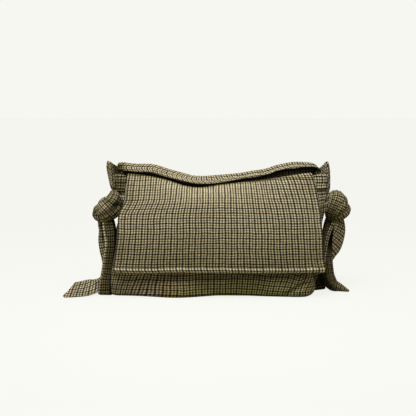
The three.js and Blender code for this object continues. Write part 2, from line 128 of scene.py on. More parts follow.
# makes a mesh object of one or more grids; a ring's last column joins its first
def makePiece(name, patches, material, thick=0, outward=True):
    corners = []
    faces = []
    weaves = []
    start = 0
    # fade: the lines across grow faint, and along the flap's hem it carries a painted highlight;
    # the shade mark is painted shade where shade falls, and below 0 painted light
    marks = {"fade": [], "soil": []}
    for one in patches:
        rows, columns = one["points"].shape[:2]
        across = columns if one["ring"] else columns - 1
        r, c = np.meshgrid(np.arange(rows - 1), np.arange(across), indexing="ij")
        after = (c + 1) % columns
        quad = np.stack([r * columns + c, r * columns + after,
                         (r + 1) * columns + after, (r + 1) * columns + c], -1).reshape(-1, 4)
        loop = np.stack([one["weave"][r, c], one["weave"][r, c + 1],
                         one["weave"][r + 1, c + 1], one["weave"][r + 1, c]], 2).reshape(-1, 4, 2)
        if not outward:
            quad = quad[:, ::-1]
            loop = loop[:, ::-1]
        corners.append(one["points"].reshape(-1, 3) * millimetre)
        faces.append(quad + start)
        weaves.append(loop.reshape(-1, 2))
        for mark, values in marks.items():
            values.append((one["marks"].get(mark, 0) + np.zeros((rows, columns))).ravel())
        start += rows * columns
    mesh = bpy.data.meshes.new(name)
    mesh.from_pydata(np.concatenate(corners).tolist(), [], np.concatenate(faces).tolist())
    mesh.uv_layers.new(name="weave").data.foreach_set("uv", np.concatenate(weaves).astype(np.float32).ravel())
    for mark, values in marks.items():
        mesh.attributes.new(mark, "FLOAT", "POINT").data.foreach_set(
            "value", np.concatenate(values).astype(np.float32))
    build = bmesh.new()
    build.from_mesh(mesh)
    bmesh.ops.remove_doubles(build, verts=build.verts, dist=joinWithin)   # closes flattened ends and poles
    bmesh.ops.dissolve_degenerate(build, edges=build.edges, dist=thinnest)
    build.to_mesh(mesh)
    build.free()
    mesh.polygons.foreach_set("use_smooth", np.ones(len(mesh.polygons), bool))
    mesh.materials.append(material)
    mesh.validate()
    piece = bpy.data.objects.new(name, mesh)
    scene.collection.objects.link(piece)
    if thick:
        wall = piece.modifiers.new("wall", "SOLIDIFY")
        wall.thickness = thick * millimetre
        wall.offset = -1
        wall.use_rim = True
    return piece


# places a finished piece on its body, in place of the plain solids that it stands for
def settle(piece, body, slotName, *nodes):
    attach(piece, body)
    if nodes:
        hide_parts(*nodes)


# Camera: in front of the bag and a little above it, tilted down
view = {"place": (-0.0154, -1.1675, 0.2834), "downTilt": 8.0, "lens": 71.1, "sensor": 36}

lens = bpy.data.cameras.new("camera")
lens.sensor_width = view["sensor"]
lens.lens = view["lens"]
camera = bpy.data.objects.new("camera", lens)
camera.location = view["place"]
camera.rotation_euler = (math.radians(90 - view["downTilt"]), 0, 0)
scene.collection.objects.link(camera)
scene.camera = camera
scene.view_settings.view_transform = "Standard"


# Light: a broad window high in front, softness being the angle that it fills, and a soft lamp close above
# the bag. The sky grows from horizon to zenith. Floor and backdrop are paper, which shows by itself for the
# share paperGlow; light that bounces meets the darker bounce instead.
light = {
    "window": 0.9, "windowPlace": (-0.3, -0.8, 1.6), "height": 60.0, "fromLeft": 6.0, "softness": 40.0,
    "lamp": 2.55, "lampPlace": (-0.03, -0.24, 0.62), "lampSize": 0.42, "lampTilt": 16.0,
    "horizon": 0.07, "zenith": 1.0,
    "paper": (0.93, 0.93, 0.89), "paperGlow": 0.9, "bounce": (0.36, 0.33, 0.2), "floorHalf": 8000.0,
}


# puts a lamp at a place, turned by three angles
def addLight(name, data, place, turn):
    lamp = bpy.data.objects.new(name, data)
    lamp.location = place
    lamp.rotation_euler = turn
    scene.collection.objects.link(lamp)


window = bpy.data.lights.new("window_light", "SUN")
window.energy = light["window"]
window.angle = math.radians(light["softness"])
windowTurn = (math.radians(90 - light["height"]), 0, -math.radians(light["fromLeft"]))
addLight("window_light", window, light["windowPlace"], windowTurn)
lampAbove = bpy.data.lights.new("lamp_above", "AREA")
lampAbove.shape = "DISK"
lampAbove.size = light["lampSize"]
lampAbove.energy = light["lamp"]
addLight("lamp_above", lampAbove, light["lampPlace"], (math.radians(light["lampTilt"]), 0, 0))


# one socket of a material: sums of sockets and numbers add their own Math nodes
class Strand:
    def __init__(self, tree, socket=None):
        self.tree = tree
        self.socket = socket

    # links or sets the sockets of a node
    def fill(self, made, values):
        for key, value in values.items():
            if isinstance(value, Strand):
                self.tree.links.new(value.socket, made.inputs[key])
            else:
                made.inputs[key].default_value = value

    # any other node: its settings first, then the values or links of its sockets
    def node(self, kind, settings=None, values=None, out=0):
        made = self.tree.nodes.new(kind)
        for key, value in (settings or {}).items():
            setattr(made, key, value)
        self.fill(made, values or {})
        return Strand(self.tree, made.outputs[out])

    # another output of the same node
    def also(self, out):
        return Strand(self.tree, self.socket.node.outputs[out])

    # one Math node over these terms
    def math(self, operation, *terms):
        return self.node("ShaderNodeMath", {"operation": operation}, dict(enumerate(terms)))

    def __add__(self, other):
        return self.math("ADD", self, other)

    __radd__ = __add__

    def __sub__(self, other):
        return self.math("SUBTRACT", self, other)

    def __rsub__(self, other):
        return self.math("SUBTRACT", other, self)

    def __mul__(self, other):
        return self.math("MULTIPLY", self, other)

    __rmul__ = __mul__

    def __truediv__(self, other):
        return self.math("DIVIDE", self, other)

    def __lt__(self, other):
        return self.math("LESS_THAN", self, other)

    def __abs__(self):
        return self.math("ABSOLUTE", self)

    def fraction(self):
        return self.math("FRACT", self)

    def whole(self):
        return self.math("FLOOR", self)

    # the three parts of a vector: this is the first, and also("Y") and also("Z") are the others
    def parts(self):
        return self.node("ShaderNodeSeparateXYZ", None, {0: self})

    # places in the piece's own space, in metres
    def spots(self):
        return self.node("ShaderNodeTexCoord", None, None, "Object")

    # noise over the places that this holds, flat or in space
    def noise(self, scale, detail, space="3D", rough=0.5, out=0):
        return self.node("ShaderNodeTexNoise", {"noise_dimensions": space},
                         {"Vector": self, "Scale": scale, "Detail": detail, "Roughness": rough}, out)

    # a surface raised by this share of a height
    def raised(self, strength, height):
        return self.node("ShaderNodeBump", None, {"Strength": strength, "Distance": height, "Height": self})

    # from one value to another as this goes from low to high, eased at both ends
    def eased(self, low, high, first=0.0, last=1.0):
        return self.node("ShaderNodeMapRange", {"interpolation_type": "SMOOTHSTEP"},
                         {"Value": self, "From Min": low, "From Max": high, "To Min": first, "To Max": last})

    # colours blended by a share; kind is a Mix node's blend type
    def blended(self, share, first, second, kind="MIX"):
        return self.node("ShaderNodeMix", {"data_type": "RGBA", "blend_type": kind},
                         {0: share, 6: first, 7: second}, 2)


# a new material: gives its strand, its shader node and itself
def newMaterial(name):
    material = bpy.data.materials.new(name)
    material.use_nodes = True
    tree = material.node_tree
    return Strand(tree), tree.nodes["Principled BSDF"], material


# a screen colour from 0 to 255 as linear light: a straight toe, then a power of 2.4
def colour(red, green, blue):
    linear = [((c / 255 + 0.055) / 1.055) ** 2.4 if c > 10 else c / 255 / 12.92 for c in (red, green, blue)]
    return (*linear, 1)


# Wool in a gun-club check. Lengths are in millimetres on the cloth, and half widths are shares of a repeat.
# Up and across say how strong the lines are that run that way. Threads wander, and hairs blur their borders.
woolCheck = {
    "repeat": (8.5, 7.0), "darkHalf": 0.15, "brownHalf": 0.12, "softness": 0.045,
    "cream": (240, 224, 186), "creamShade": 0.8, "brown": (60, 51, 29), "dark": (18, 23, 8),
    "darkUp": 0.97, "darkAcross": 0.9, "brownUp": 0.86, "brownAcross": 0.76,
    "thread": (0.53, 0.5), "wander": 0.55, "driftScale": 0.045, "hairScale": 0.9, "patchScale": 0.16,
    # the painted shade: how deep it darkens, and how much less green and blue it leaves, as shade is warmer
    "tone": (0.8, 1.12), "soilDepth": 0.6, "soilWarmth": (0.03, 0.3),
    "stainBrown": (1.0, 0.74, 0.45, 1), "stainOlive": (0.76, 0.95, 0.38, 1), "stainDepth": 0.55,
    "relief": 0.5, "reliefHeight": 0.0006, "roughness": 0.95, "sheen": 0.02,
}


# Dark lines stand every repeat of the weave map and brown ones midway, each a soft band round its own line,
# laid over the cream ground one after another. Painted shade darkens the cloth, below 0 it is painted light,
# and a faint stain lies at the floor.
def checkedWool(name):
    strand, shader, material = newMaterial(name)
    look = woolCheck
    weave = strand.node("ShaderNodeUVMap", {"uv_map": "weave"})
    place = weave.parts()
    drift = weave.noise(look["driftScale"], 2.0, "2D", out="Color").parts()
    hair = weave.noise(look["hairScale"], 3.0, "2D", out="Color").parts()
    far = 4 * look["wander"]
    u = place + (drift - 0.5) * far + (hair - 0.5) * look["wander"]
    v = place.also("Y") + (drift.also("Y") - 0.5) * far + (hair.also("Y") - 0.5) * look["wander"]

    # 1 within half a line's width and 0 outside it, with a soft border
    def band(away, half):
        return away.eased(half - look["softness"], half + look["softness"], 1.0, 0.0)

    # distance from the nearest dark line, in repeats; the brown lines are half a repeat away
    def lines(along, repeat):
        off = abs((along / repeat + 0.5).fraction() - 0.5)
        return band(off, look["darkHalf"]), band(0.5 - off, look["brownHalf"])

    darkUp, brownUp = lines(u, look["repeat"][0])
    darkAcross, brownAcross = lines(v, look["repeat"][1])
    # fade, and the painted shade of the piece
    fade, soil = (strand.node("ShaderNodeAttribute", {"attribute_name": mark}, None, "Fac")
                  for mark in ("fade", "soil"))
    # two over, two under: which thread lies on top steps by one at each row
    thread = ((place / look["thread"][0]).whole() + (place.also("Y") / look["thread"][1]).whole()) * 0.25
    over = thread.fraction() < 0.5
    upOver = 0.78 + over * 0.3
    acrossOver = 1.08 - over * 0.3
    keep = 1 - fade * 0.8
    paler = colour(*look["cream"])
    deeper = colour(*[c * look["creamShade"] for c in look["cream"]])
    brown = colour(*look["brown"])
    dark = colour(*look["dark"])
    cloth = strand.blended(hair.also("Z"), paler, deeper)
    cloth = strand.blended(brownAcross * acrossOver * keep * look["brownAcross"], cloth, brown)
    cloth = strand.blended(brownUp * upOver * look["brownUp"], cloth, brown)
    cloth = strand.blended(darkAcross * acrossOver * keep * look["darkAcross"], cloth, dark)
    cloth = strand.blended(darkUp * upOver * look["darkUp"], cloth, dark)
    # lighter and darker patches at random, and the painted shade, which is warmer as well as darker
    patches = weave.noise(look["patchScale"], 4.0, "2D", 0.65)
    tone = patches.eased(0.25, 0.75, *look["tone"]) * (1 - soil * look["soilDepth"])
    warm = soil.math("MAXIMUM", soil, 0.0)
    lessGreen, lessBlue = look["soilWarmth"]
    toneAndShade = strand.node("ShaderNodeCombineXYZ", None,
                         {0: tone, 1: tone * (1 - warm * lessGreen), 2: tone * (1 - warm * lessBlue)})
    cloth = strand.blended(1.0, cloth, toneAndShade, "MULTIPLY")
    # the stain: strongest at the floor, and only between two places across
    spot = strand.spots()
    across = spot.parts()
    low = across.also("Z").eased(0.004, 0.04, look["stainDepth"], 0.0)
    low = low * across.eased(-0.1, -0.07) * across.eased(0.12, 0.14, 1.0, 0.0)
    olive = spot.noise(14.0, 1.0).eased(0.38, 0.6)
    stain = strand.blended(olive, look["stainBrown"], look["stainOlive"])
    cloth = strand.blended(low, cloth, stain, "MULTIPLY")
    height = over * 0.5 + hair * 0.9 + patches * 1.2
    relief = height.raised(look["relief"], look["reliefHeight"])
    strand.fill(shader, {"Base Color": cloth, "Normal": relief, "Roughness": look["roughness"],
                         "Specular IOR Level": 0.06, "Sheen Weight": look["sheen"], "Sheen Roughness": 0.6})
    return material


wool = checkedWool("checked_wool")

liningLook = {"colour": (98, 84, 62), "thread": 0.7, "cloudScale": 0.08, "roughness": 0.78,
              "relief": 0.35, "reliefHeight": 0.0004}


# Plain-woven lining: fine threads over and under both ways, and a soft cloudy tone
def plainLining(name):
    strand, shader, material = newMaterial(name)
    weave = strand.node("ShaderNodeUVMap", {"uv_map": "weave"})
    place = weave.parts()
    size = liningLook["thread"]
    checker = ((place / size).whole() + (place.also("Y") / size).whole()) * 0.5
    over = checker.fraction() < 0.25
    cloud = weave.noise(liningLook["cloudScale"], 4.0, "2D")
    tone = 0.82 + over * 0.1 + cloud * 0.22
    grey = strand.node("ShaderNodeCombineXYZ", None, {0: tone, 1: tone, 2: tone})
    cloth = strand.blended(1.0, colour(*liningLook["colour"]), grey, "MULTIPLY")
    height = over * 0.6 + cloud * 1.5
    relief = height.raised(liningLook["relief"], liningLook["reliefHeight"])
    strand.fill(shader, {"Base Color": cloth, "Normal": relief, "Roughness": liningLook["roughness"],
                         "Specular IOR Level": 0.3})
    return material


lining = plainLining("lining_cloth")

# the small finishes: each a light and a dark tone, mixed by a noise of this scale
steelLook = {"light": (196, 193, 184), "dark": (150, 146, 136), "rub": 900.0, "dull": 120.0}
boardLook = {"light": (176, 160, 130), "dark": (142, 126, 98), "fibre": 420.0, "roughness": 0.85,
             "relief": 0.2, "reliefHeight": 0.0003}
threadLook = {"light": (150, 138, 104), "dark": (112, 102, 74), "ply": 1500.0, "roughness": 0.7}


# the two tones of a finish, mixed by a share
def twoTones(look, share):
    return share.blended(share, colour(*look["light"]), colour(*look["dark"]))


# Steel of the snap: fine rubbing makes it rougher here and there, and it is darker in dull patches
def snapSteel(name):
    strand, shader, material = newMaterial(name)
    rub = strand.spots().noise(steelLook["rub"], 3.0)
    dull = strand.spots().noise(steelLook["dull"], 2.0)
    shine = 0.26 + rub * 0.14 + dull * 0.12
    strand.fill(shader, {"Base Color": twoTones(steelLook, dull), "Roughness": shine, "Metallic": 1.0})
    return material


# Board with pressed fibres, which also raise its surface a little
def fibreBoard(name):
    strand, shader, material = newMaterial(name)
    fibre = strand.spots().noise(boardLook["fibre"], 5.0)
    strand.fill(shader, {"Base Color": twoTones(boardLook, fibre), "Roughness": boardLook["roughness"],
                         "Normal": fibre.raised(boardLook["relief"], boardLook["reliefHeight"])})
    return material


# Sewing thread: olive, lighter and darker along its twist
def sewingThread(name):
    strand, shader, material = newMaterial(name)
    ply = strand.spots().noise(threadLook["ply"], 1.0)
    strand.fill(shader, {"Base Color": twoTones(threadLook, ply), "Roughness": threadLook["roughness"]})
    return material


steel = snapSteel("snap_steel")
boardFibre = fibreBoard("base_board_fibre")
thread = sewingThread("sewing_thread")


# 1 for rays from the camera, off metal or through glass, 0 for light that only bounces
def seenRays(strand):
    ray = strand.node("ShaderNodeLightPath")
    return ray.math("MINIMUM", ray + ray.also("Is Glossy Ray") + ray.also("Is Transmission Ray"), 1.0)


# Pale floor: most of its tone is its own, so that it shows evenly, and the rest takes the bag's soft shadow
def paleFloor():
    strand, shader, material = newMaterial("pale_floor")
    strand.tree.nodes.remove(shader)
    seen = seenRays(strand)
    glow = strand.node("ShaderNodeEmission", None, {"Color": (*light["paper"], 1), "Strength": 1.0})
    paper = strand.node("ShaderNodeBsdfDiffuse", None, {"Color": (*light["paper"], 1)})
    dim = strand.node("ShaderNodeBsdfDiffuse", None, {"Color": (*light["bounce"], 1)})
    shown = strand.node("ShaderNodeMixShader", None, {0: light["paperGlow"], 1: paper, 2: glow})
    both = strand.node("ShaderNodeMixShader", None, {0: seen, 1: dim, 2: shown})
    strand.fill(strand.tree.nodes["Material Output"], {"Surface": both})
    half = light["floorHalf"]
    ground = np.array([[[-half, -half, 0], [half, -half, 0]], [[-half, half, 0], [half, half, 0]]], float)
    floor = makePiece("floor", [patch(ground, ground[..., :2])], material)


# Pale sky: as light, horizon plus zenith times the square of the height; as backdrop, the paper's tone
def paleSky():
    world = bpy.data.worlds.new("pale_sky")
    scene.world = world
    world.use_nodes = True
    strand = Strand(world.node_tree)
    seen = seenRays(strand)
    way = strand.node("ShaderNodeTexCoord", None, None, "Generated")
    upward = way.parts().also("Z")
    upward = upward.math("MAXIMUM", upward, 0.0)
    dome = light["horizon"] + upward * upward * light["zenith"]
    strength = dome + seen * (1 - dome)
    sky = strand.node("ShaderNodeBackground", None, {"Color": (*light["paper"], 1), "Strength": strength})
    strand.fill(strand.tree.nodes["World Output"], {"Surface": sky})


paleFloor()
paleSky()
print("camera, light, floor and finishes are set")


# Body: the same curves as the solids, leaning a little to the left at the floor as the bag stands.
# floorBells hold how far the front bulges along the floor, where and how widely; grids are columns and rows.
body = {
    "halfWidth": 141.0, "mouthHalfWidth": 131.0, "baseHalfDepth": 43.0, "mouthFront": 15.0, "mouthBack": 24.0,
    "height": 166.0, "sag": 13.0, "rimDrop": 10.0, "bellyFront": 8.0, "bellyBack": 4.0, "fullness": 1.6,
    "cornerLeft": 4.0, "cornerRight": 11.0, "edgeTurn": 9.0, "lean": 7.0, "foot": 4.5, "clothThick": 2.4,
    "leftFull": 4.5, "rightPinch": 3.5, "rightFull": 2.2,
    "hingeY": 26.67, "hingeZ": 163.0, "backTop": 160.9,
    "flatShare": 0.93, "edgeAngle": 84.0, "bow": 2.0, "lowest": 0.3,
    "floorBells": [(12, -60, 42), (3, 40, 40), (6, 95, 34), (5, 118, 20)], "floorRise": 30,
    "frontGrid": (181, 110), "backGrid": (121, 80), "baseGrid": (40, 16), "baseAt": 2.6,
}


# how far the top sags at a place across: a squared cosine, 1 in the middle and 0 at the shoulders
def sagShare(x):
    return np.cos(np.clip(x / body["mouthHalfWidth"], -1, 1) * np.pi / 2) ** 2


# how far the body is shifted sideways at a height: by all of the lean low down, easing to none near the top
def leanAt(z):
    return -body["lean"] * (1 - rise(25, 115, z))


# half width at a height: tapers to the mouth by a square, is fuller low down at the left and pinched at the
# right, and rounds off above the floor by a quarter circle
def halfWidthAt(z, side):
    taper = mix(body["halfWidth"], body["mouthHalfWidth"], np.clip(z / body["height"], 0, 1) ** 2)
    pinch = body["rightFull"] * bell(z - 13, 9) - body["rightPinch"] * bell(z - 35, 10)
    taper = taper + np.where(side < 0, body["leftFull"] * (1 - rise(20, 100, z)), pinch)
    corner = np.where(side < 0, body["cornerLeft"], body["cornerRight"])
    return taper - corner * (1 - arc(z, corner))


# how far the front stands from the middle plane at a height: a power from base to mouth, plus half a sine
def frontDepth(z):
    t = np.clip(z / body["height"], 0, 1)
    slope = mix(body["baseHalfDepth"], body["mouthFront"], t ** body["fullness"])
    return slope + body["bellyFront"] * np.sin(np.pi * t)


# the same for the back, with a straight line from base to mouth
def backDepth(z):
    t = np.clip(z / body["height"], 0, 1)
    return mix(body["baseHalfDepth"], body["mouthBack"], t) + body["bellyBack"] * np.sin(np.pi * t)


# roll of the cloth under the foot: a quarter circle over the lowest millimetres
def footTuck(z):
    return body["foot"] * (1 - arc(z, body["foot"]))


# height of the front's rim: below the shoulders by a fixed drop and by the sag
def frontTop(x):
    return body["height"] - body["rimDrop"] - body["sag"] * sagShare(x)


# share across from -1 to 1, with a narrow strip at each side turned round the edge; gives place and turn
def edgeTurned(share):
    flat = body["flatShare"]
    turn = np.clip((np.abs(share) - flat) / (1 - flat), 0, 1) * math.radians(body["edgeAngle"])
    return np.sign(share) * np.minimum(np.abs(share) / flat, 1), turn


# One wall of the body. Across it runs flat and turns round each side edge on a small radius; upwards it
# rolls out from under the foot and follows the depth curve. way is -1 for the front, 1 for the back.
def wallPoints(way, columns, rows, top):
    share = np.linspace(-1, 1, columns)[None, :] * (1 if way < 0 else -1)
    up = np.linspace(0, 1, rows)[:, None] ** 1.15   # the rows lie closer at the floor
    flat, turn = edgeTurned(share)
    z = body["lowest"] + (top(share * body["mouthHalfWidth"]) - body["lowest"]) * up
    side = np.sign(share) + 0 * z
    radius = body["edgeTurn"]
    wide = halfWidthAt(z, side) - radius
    depth = (frontDepth(z) if way < 0 else backDepth(z)) - footTuck(z)
    x = flat * wide + side * radius * np.sin(turn) + leanAt(z)
    bow = body["bow"] * (1 - flat ** 2) - body["bow"]
    y = way * (depth + bow - radius * (1 - np.cos(turn)))
    return np.stack([x, y, z + 0 * x], -1)


# cloth coordinates of a wall: across by its length from the middle, up by height along the cloth
def wallWeave(points, shift=0.0):
    across = runLength(points, 1)
    middle = across[:, across.shape[1] // 2][:, None]
    up = runLength(points, 0)
    return np.stack([across - middle, up + shift], -1)


# how far above the slanting crease in the right corner a place on the front is, and how near to its stretch
def aboveCrease(points):
    x = points[..., 0]
    z = points[..., 2]
    return 0.86 * (z - 5 - 0.6 * (x - 95)), rise(84, 98, x) * (1 - rise(114, 128, x))


# how far the front bulges forward along the floor: a sum of bells across, gone a little way up
def floorFull(x, z):
    bulge = sum(depth * bell(x - at, spread) for depth, at, spread in body["floorBells"])
    return bulge * (1 - rise(0, body["floorRise"], z))


# Slack of the front below the flap, as sums of bells and sines: fuller along the floor, a soft fold along
# it, a crease up into the right corner over a full lower edge, and a stretch lifted off the floor
def frontSlack(points):
    x, y, z = np.moveaxis(points, -1, 0)
    low = 1 - rise(30, 75, z)
    fold = 1.6 * bell(z - 21 - 0.03 * x, 5) - 1.6 * bell(z - 30 - 0.02 * x, 4)
    above, near = aboveCrease(points)
    crease = near * (2.2 * bell(above + 5, 4) - 2.6 * bell(above, 2.6) + 1.2 * bell(above - 6, 3))
    ripple = 0.7 * np.sin(x / 11.0 + 0.6 * np.sin(z / 9)) + 0.5 * np.sin(x / 6.3 + 2)
    out = low * (fold + crease + ripple) * rise(2, 9, z) + floorFull(x, z)
    lift = 1.6 * bell(x - 18, 34) * np.exp(-z / 9)
    return np.stack([x, y - out, z + lift], -1)


# Painted shade of the front: dark along the floor and under the flap's edge, but not at the left; dark in
# the crease and painted light below it
def frontShade(points):
    x = points[..., 0]
    z = points[..., 2]
    above, near = aboveCrease(points)
    low = 0.5 * (1 - rise(4, 28, z)) + 0.5 * bell(z - 32, 3.2)
    crease = 0.45 * bell(above - 0.5, 2.6) - 0.35 * bell(above + 6, 3.5)
    return 0.1 + low * rise(-105, -75, x) + 0.45 * (1 - rise(0, 7, z)) + near * crease


# slack of the back: one slanting sine, gone at the floor and at the top
def backSlack(points):
    x = points[..., 0]
    z = points[..., 2]
    return 1.2 * np.sin(x / 26 + z / 40) * rise(5, 40, z) * (1 - rise(120, 150, z))


front = frontSlack(wallPoints(-1, *body["frontGrid"], frontTop))
frontWeave = wallWeave(front, 2.0)
# low down the check leans to the right, most at both ends
frontLean = 0.4 * bell(front[..., 0] + 125, 42) + 0.4 * rise(-10, 110, front[..., 0])
frontWeave[..., 0] -= frontLean * np.minimum(front[..., 2] - 45, 0)
frontPaintedShade = frontShade(front)
frontCloth = makePiece("front_cloth", [patch(front, frontWeave, soil=frontPaintedShade)], wool, body["clothThick"])
settle(frontCloth, "bag", "wool", "front_panel")

back = wallPoints(1, *body["backGrid"], lambda x: body["backTop"] + 0 * x)
back[..., 1] += backSlack(back)
backCloth = makePiece("back_cloth", [patch(back, wallWeave(back, 4.0))], wool, body["clothThick"])
settle(backCloth, "bag", "wool", "back_panel")


# Base: a flat cloth inside the walls' roll, its corners drawn in by the eighth power of both shares, its
# front edge following the front's bulge
def basePoints(columns, rows, z):
    share, up = np.meshgrid(np.linspace(-1, 1, columns), np.linspace(-1, 1, rows))
    drawnIn = np.sqrt(np.clip(1 - 0.06 * share ** 8 * up ** 8, 0, 1))
    halfX = np.where(share < 0, halfWidthAt(body["lowest"], -1.0), halfWidthAt(body["lowest"], 1.0)) + 3
    halfY = body["baseHalfDepth"] - 2 - body["foot"]
    x = share * halfX * drawnIn - body["lean"]
    y = up * halfY * drawnIn - floorFull(x, z) * np.maximum(-up, 0)
    return np.stack([x, y, np.full_like(share, z)], -1)


ground = basePoints(*body["baseGrid"], body["baseAt"])
baseCloth = makePiece("base_cloth", [patch(ground, ground[..., :2])], wool, body["clothThick"] - 0.2)
settle(baseCloth, "bag", "wool", "base_panel")
print("front, back and base cloth are made")


# Gussets: each level is a smooth line from the front seam over a leaf fold, a valley and the ear's ridge to
# the back seam. The folds' rows hold height, then how far out the leaf, the valley and the ridge lie, then
# their depths; the rim's rows hold a share of the way round and the rim's height there. The leaf's, ear's
# and low shades and the ear's line are painted shade, pleat is a height.
gussetGrid = (141, 130)
gussetPlaces = (0, 0.28, 0.43, 0.62, 1)   # seam, leaf, valley, ridge and seam, as shares of the way round
gussets = {
    "left": {
        "side": -1,
        "folds": [
            [0, 138, 139, 138, -16, 0, 14], [14, 151, 152, 150, -18, 0, 14],
            [34, 151, 152, 150, -18, 0, 14], [60, 149, 150, 148, -18, 0, 14],
            [96, 145, 146, 143, -17, 0, 13], [108, 141, 141, 140, -15, -1, 12],
            [119, 136.5, 134, 137, -14, -1, 11], [127, 136.5, 130, 139, -14, -1, 10],
            [136, 141, 131, 147, -13, -1, 8], [146, 147.5, 133, 155, -11, -1, 6],
            [158, 148.5, 134, 158.5, -10, 0, 8], [168, 148.5, 135, 160.6, -9, 1, 9],
            [179, 148, 138, 161.9, -7, 2, 9], [188, 147, 142, 160, -5, 3, 9],
        ],
        "pleat": 144, "leafPaintedShade": 1.15, "earPaintedShade": 0.25, "earLine": 0.0, "earFrom": 0.52, "lowPaintedShade": 0.2,
        "rim": [[0, 166], [0.14, 168], [0.28, 168.4], [0.34, 168], [0.43, 175], [0.52, 181], [0.585, 185.6],
                [0.62, 186.3], [0.655, 185], [0.72, 178], [0.82, 169], [1, 161]],
    },
    "right": {
        "side": 1,
        "folds": [
            [0, 122, 123, 122, -16, 0, 14], [14, 137, 139, 138, -16, 0, 14],
            [60, 144, 147, 145, -16, 0, 14], [96, 146, 149, 147, -15, 0, 13],
            [108, 149, 149, 148, -12, 0, 12], [119, 152, 149, 150, -9, 1, 11],
            [127, 153, 147, 153, -8, 1, 10], [136, 153.5, 144, 158, -7, 1, 9],
            [146, 154, 141, 161, -6, 2, 9], [158, 155, 138, 161.4, -8, 3, 10],
            [168, 155, 138, 161, -7, 3, 10], [179, 153, 140, 159.6, -5, 4, 10],
            [188, 151, 142, 156.8, -3, 5, 10],
        ],
        "pleat": 146, "leafPaintedShade": 0.0, "earPaintedShade": 0.1, "earLine": 0.9, "earFrom": 0.42, "lowPaintedShade": 1.2,
        "rim": [[0, 166], [0.14, 168], [0.28, 168.8], [0.36, 168], [0.43, 172], [0.52, 180], [0.575, 184.6],
                [0.605, 185.6], [0.63, 184.8], [0.72, 178], [0.82, 169], [1, 161]],
    },
}


# A gusset's grid: at each height straight runs between the seams and the three folds, which are then
# rounded by averaging each point with its neighbours along the level. A small tuck, a ridge over a groove,
# crosses the leaf.
def gussetPoints(gusset, columns, rows):
    side = gusset["side"]
    u = np.linspace(0, 1, columns)
    rim = throughRows(gusset["rim"], u)[None, :]
    z = 0.5 + (rim - 0.5) * (np.linspace(0, 1, rows)[:, None] ** 0.9)
    level = np.array(gusset["folds"])
    low = np.minimum(z, body["height"])
    folds = [through(level[:, 0], level[:, k], z) for k in range(1, 7)]
    seamX = side * (side * (halfWidthAt(low, np.full_like(z, side)) - 1.5) + leanAt(z))
    seamIn = body["edgeTurn"] * 0.82   # the seam lies in the turned edge of the walls
    seamFront = -(frontDepth(low) - footTuck(z)) + 2 + seamIn - floorFull(side * seamX, z)
    seamBack = backDepth(low) - footTuck(z) - 2 - seamIn
    share = np.stack([np.interp(u, gussetPlaces, row) for row in np.eye(5)])
    kernel = np.array([1, 3, 4, 3, 1]) / 12.0
    padded = np.pad(share, ((0, 0), (2, 2)), mode="reflect", reflect_type="odd")
    share = np.stack([np.convolve(row, kernel, mode="valid") for row in padded])
    x = sum(share[k] * value for k, value in enumerate([seamX, *folds[:3], seamX]))
    y = sum(share[k] * value for k, value in enumerate([seamFront, *folds[3:], seamBack]))
    leaf = 1 - rise(0.24, 0.36, u)
    tuck = (1.8 * bell(z - gusset["pleat"] - 3, 2.6) - 2.4 * bell(z - gusset["pleat"] + 1.5, 2.2)) * leaf
    return np.stack([side * (x + 0.5 * tuck), y - tuck, z], -1)


# cloth coordinates of a gusset: along the level from the valley, and up; the ear is folded on the bias, so
# that its check slants from the valley on
def gussetWeave(points):
    across = runLength(points, 1)
    valley = int(gussetPlaces[2] * points.shape[1])
    across = across - across[:, valley:valley + 1]
    z = points[..., 2]
    return np.stack([1.03 * z + 0.7 * np.maximum(across, 0) * rise(135, 160, z), across], -1)


# painted shade of a gusset: the leaf above its pleat, the ear up to a line before its ridge and along that
# ridge, and all of it low down; painted light on the leaf below its pleat
def gussetShade(gusset, u, z):
    leaf = gusset["leafPaintedShade"] * (rise(140, 149, z) - 0.45 * rise(157, 165, z) - 0.6 * bell(z - 133, 8))
    inner = 1 - rise(gusset["earFrom"], gusset["earFrom"] + 0.055, u)
    ear = gusset["earPaintedShade"] + 1.1 * inner + gusset["earLine"] * bell(u - 0.594, 0.008)
    onEar = rise(0.3, 0.36, u)
    both = leaf * (1 - onEar) + rise(128, 145, z) * (onEar * ear)
    return both + gusset["lowPaintedShade"] * (1 - rise(45, 75, z))


for name, gusset in gussets.items():
    sheetPoints = gussetPoints(gusset, *gussetGrid)
    gussetPaintedShade = gussetShade(gusset, np.linspace(0, 1, gussetGrid[0])[None, :], sheetPoints[..., 2])
    gussetSheet = patch(sheetPoints, gussetWeave(sheetPoints), soil=gussetPaintedShade)
    piece = makePiece(f"{name}_gusset_cloth", [gussetSheet], wool, body["clothThick"],
                      outward=gusset["side"] > 0)
    settle(piece, "bag", "wool", f"{name}_gusset")
print("gussets with their ears are made")
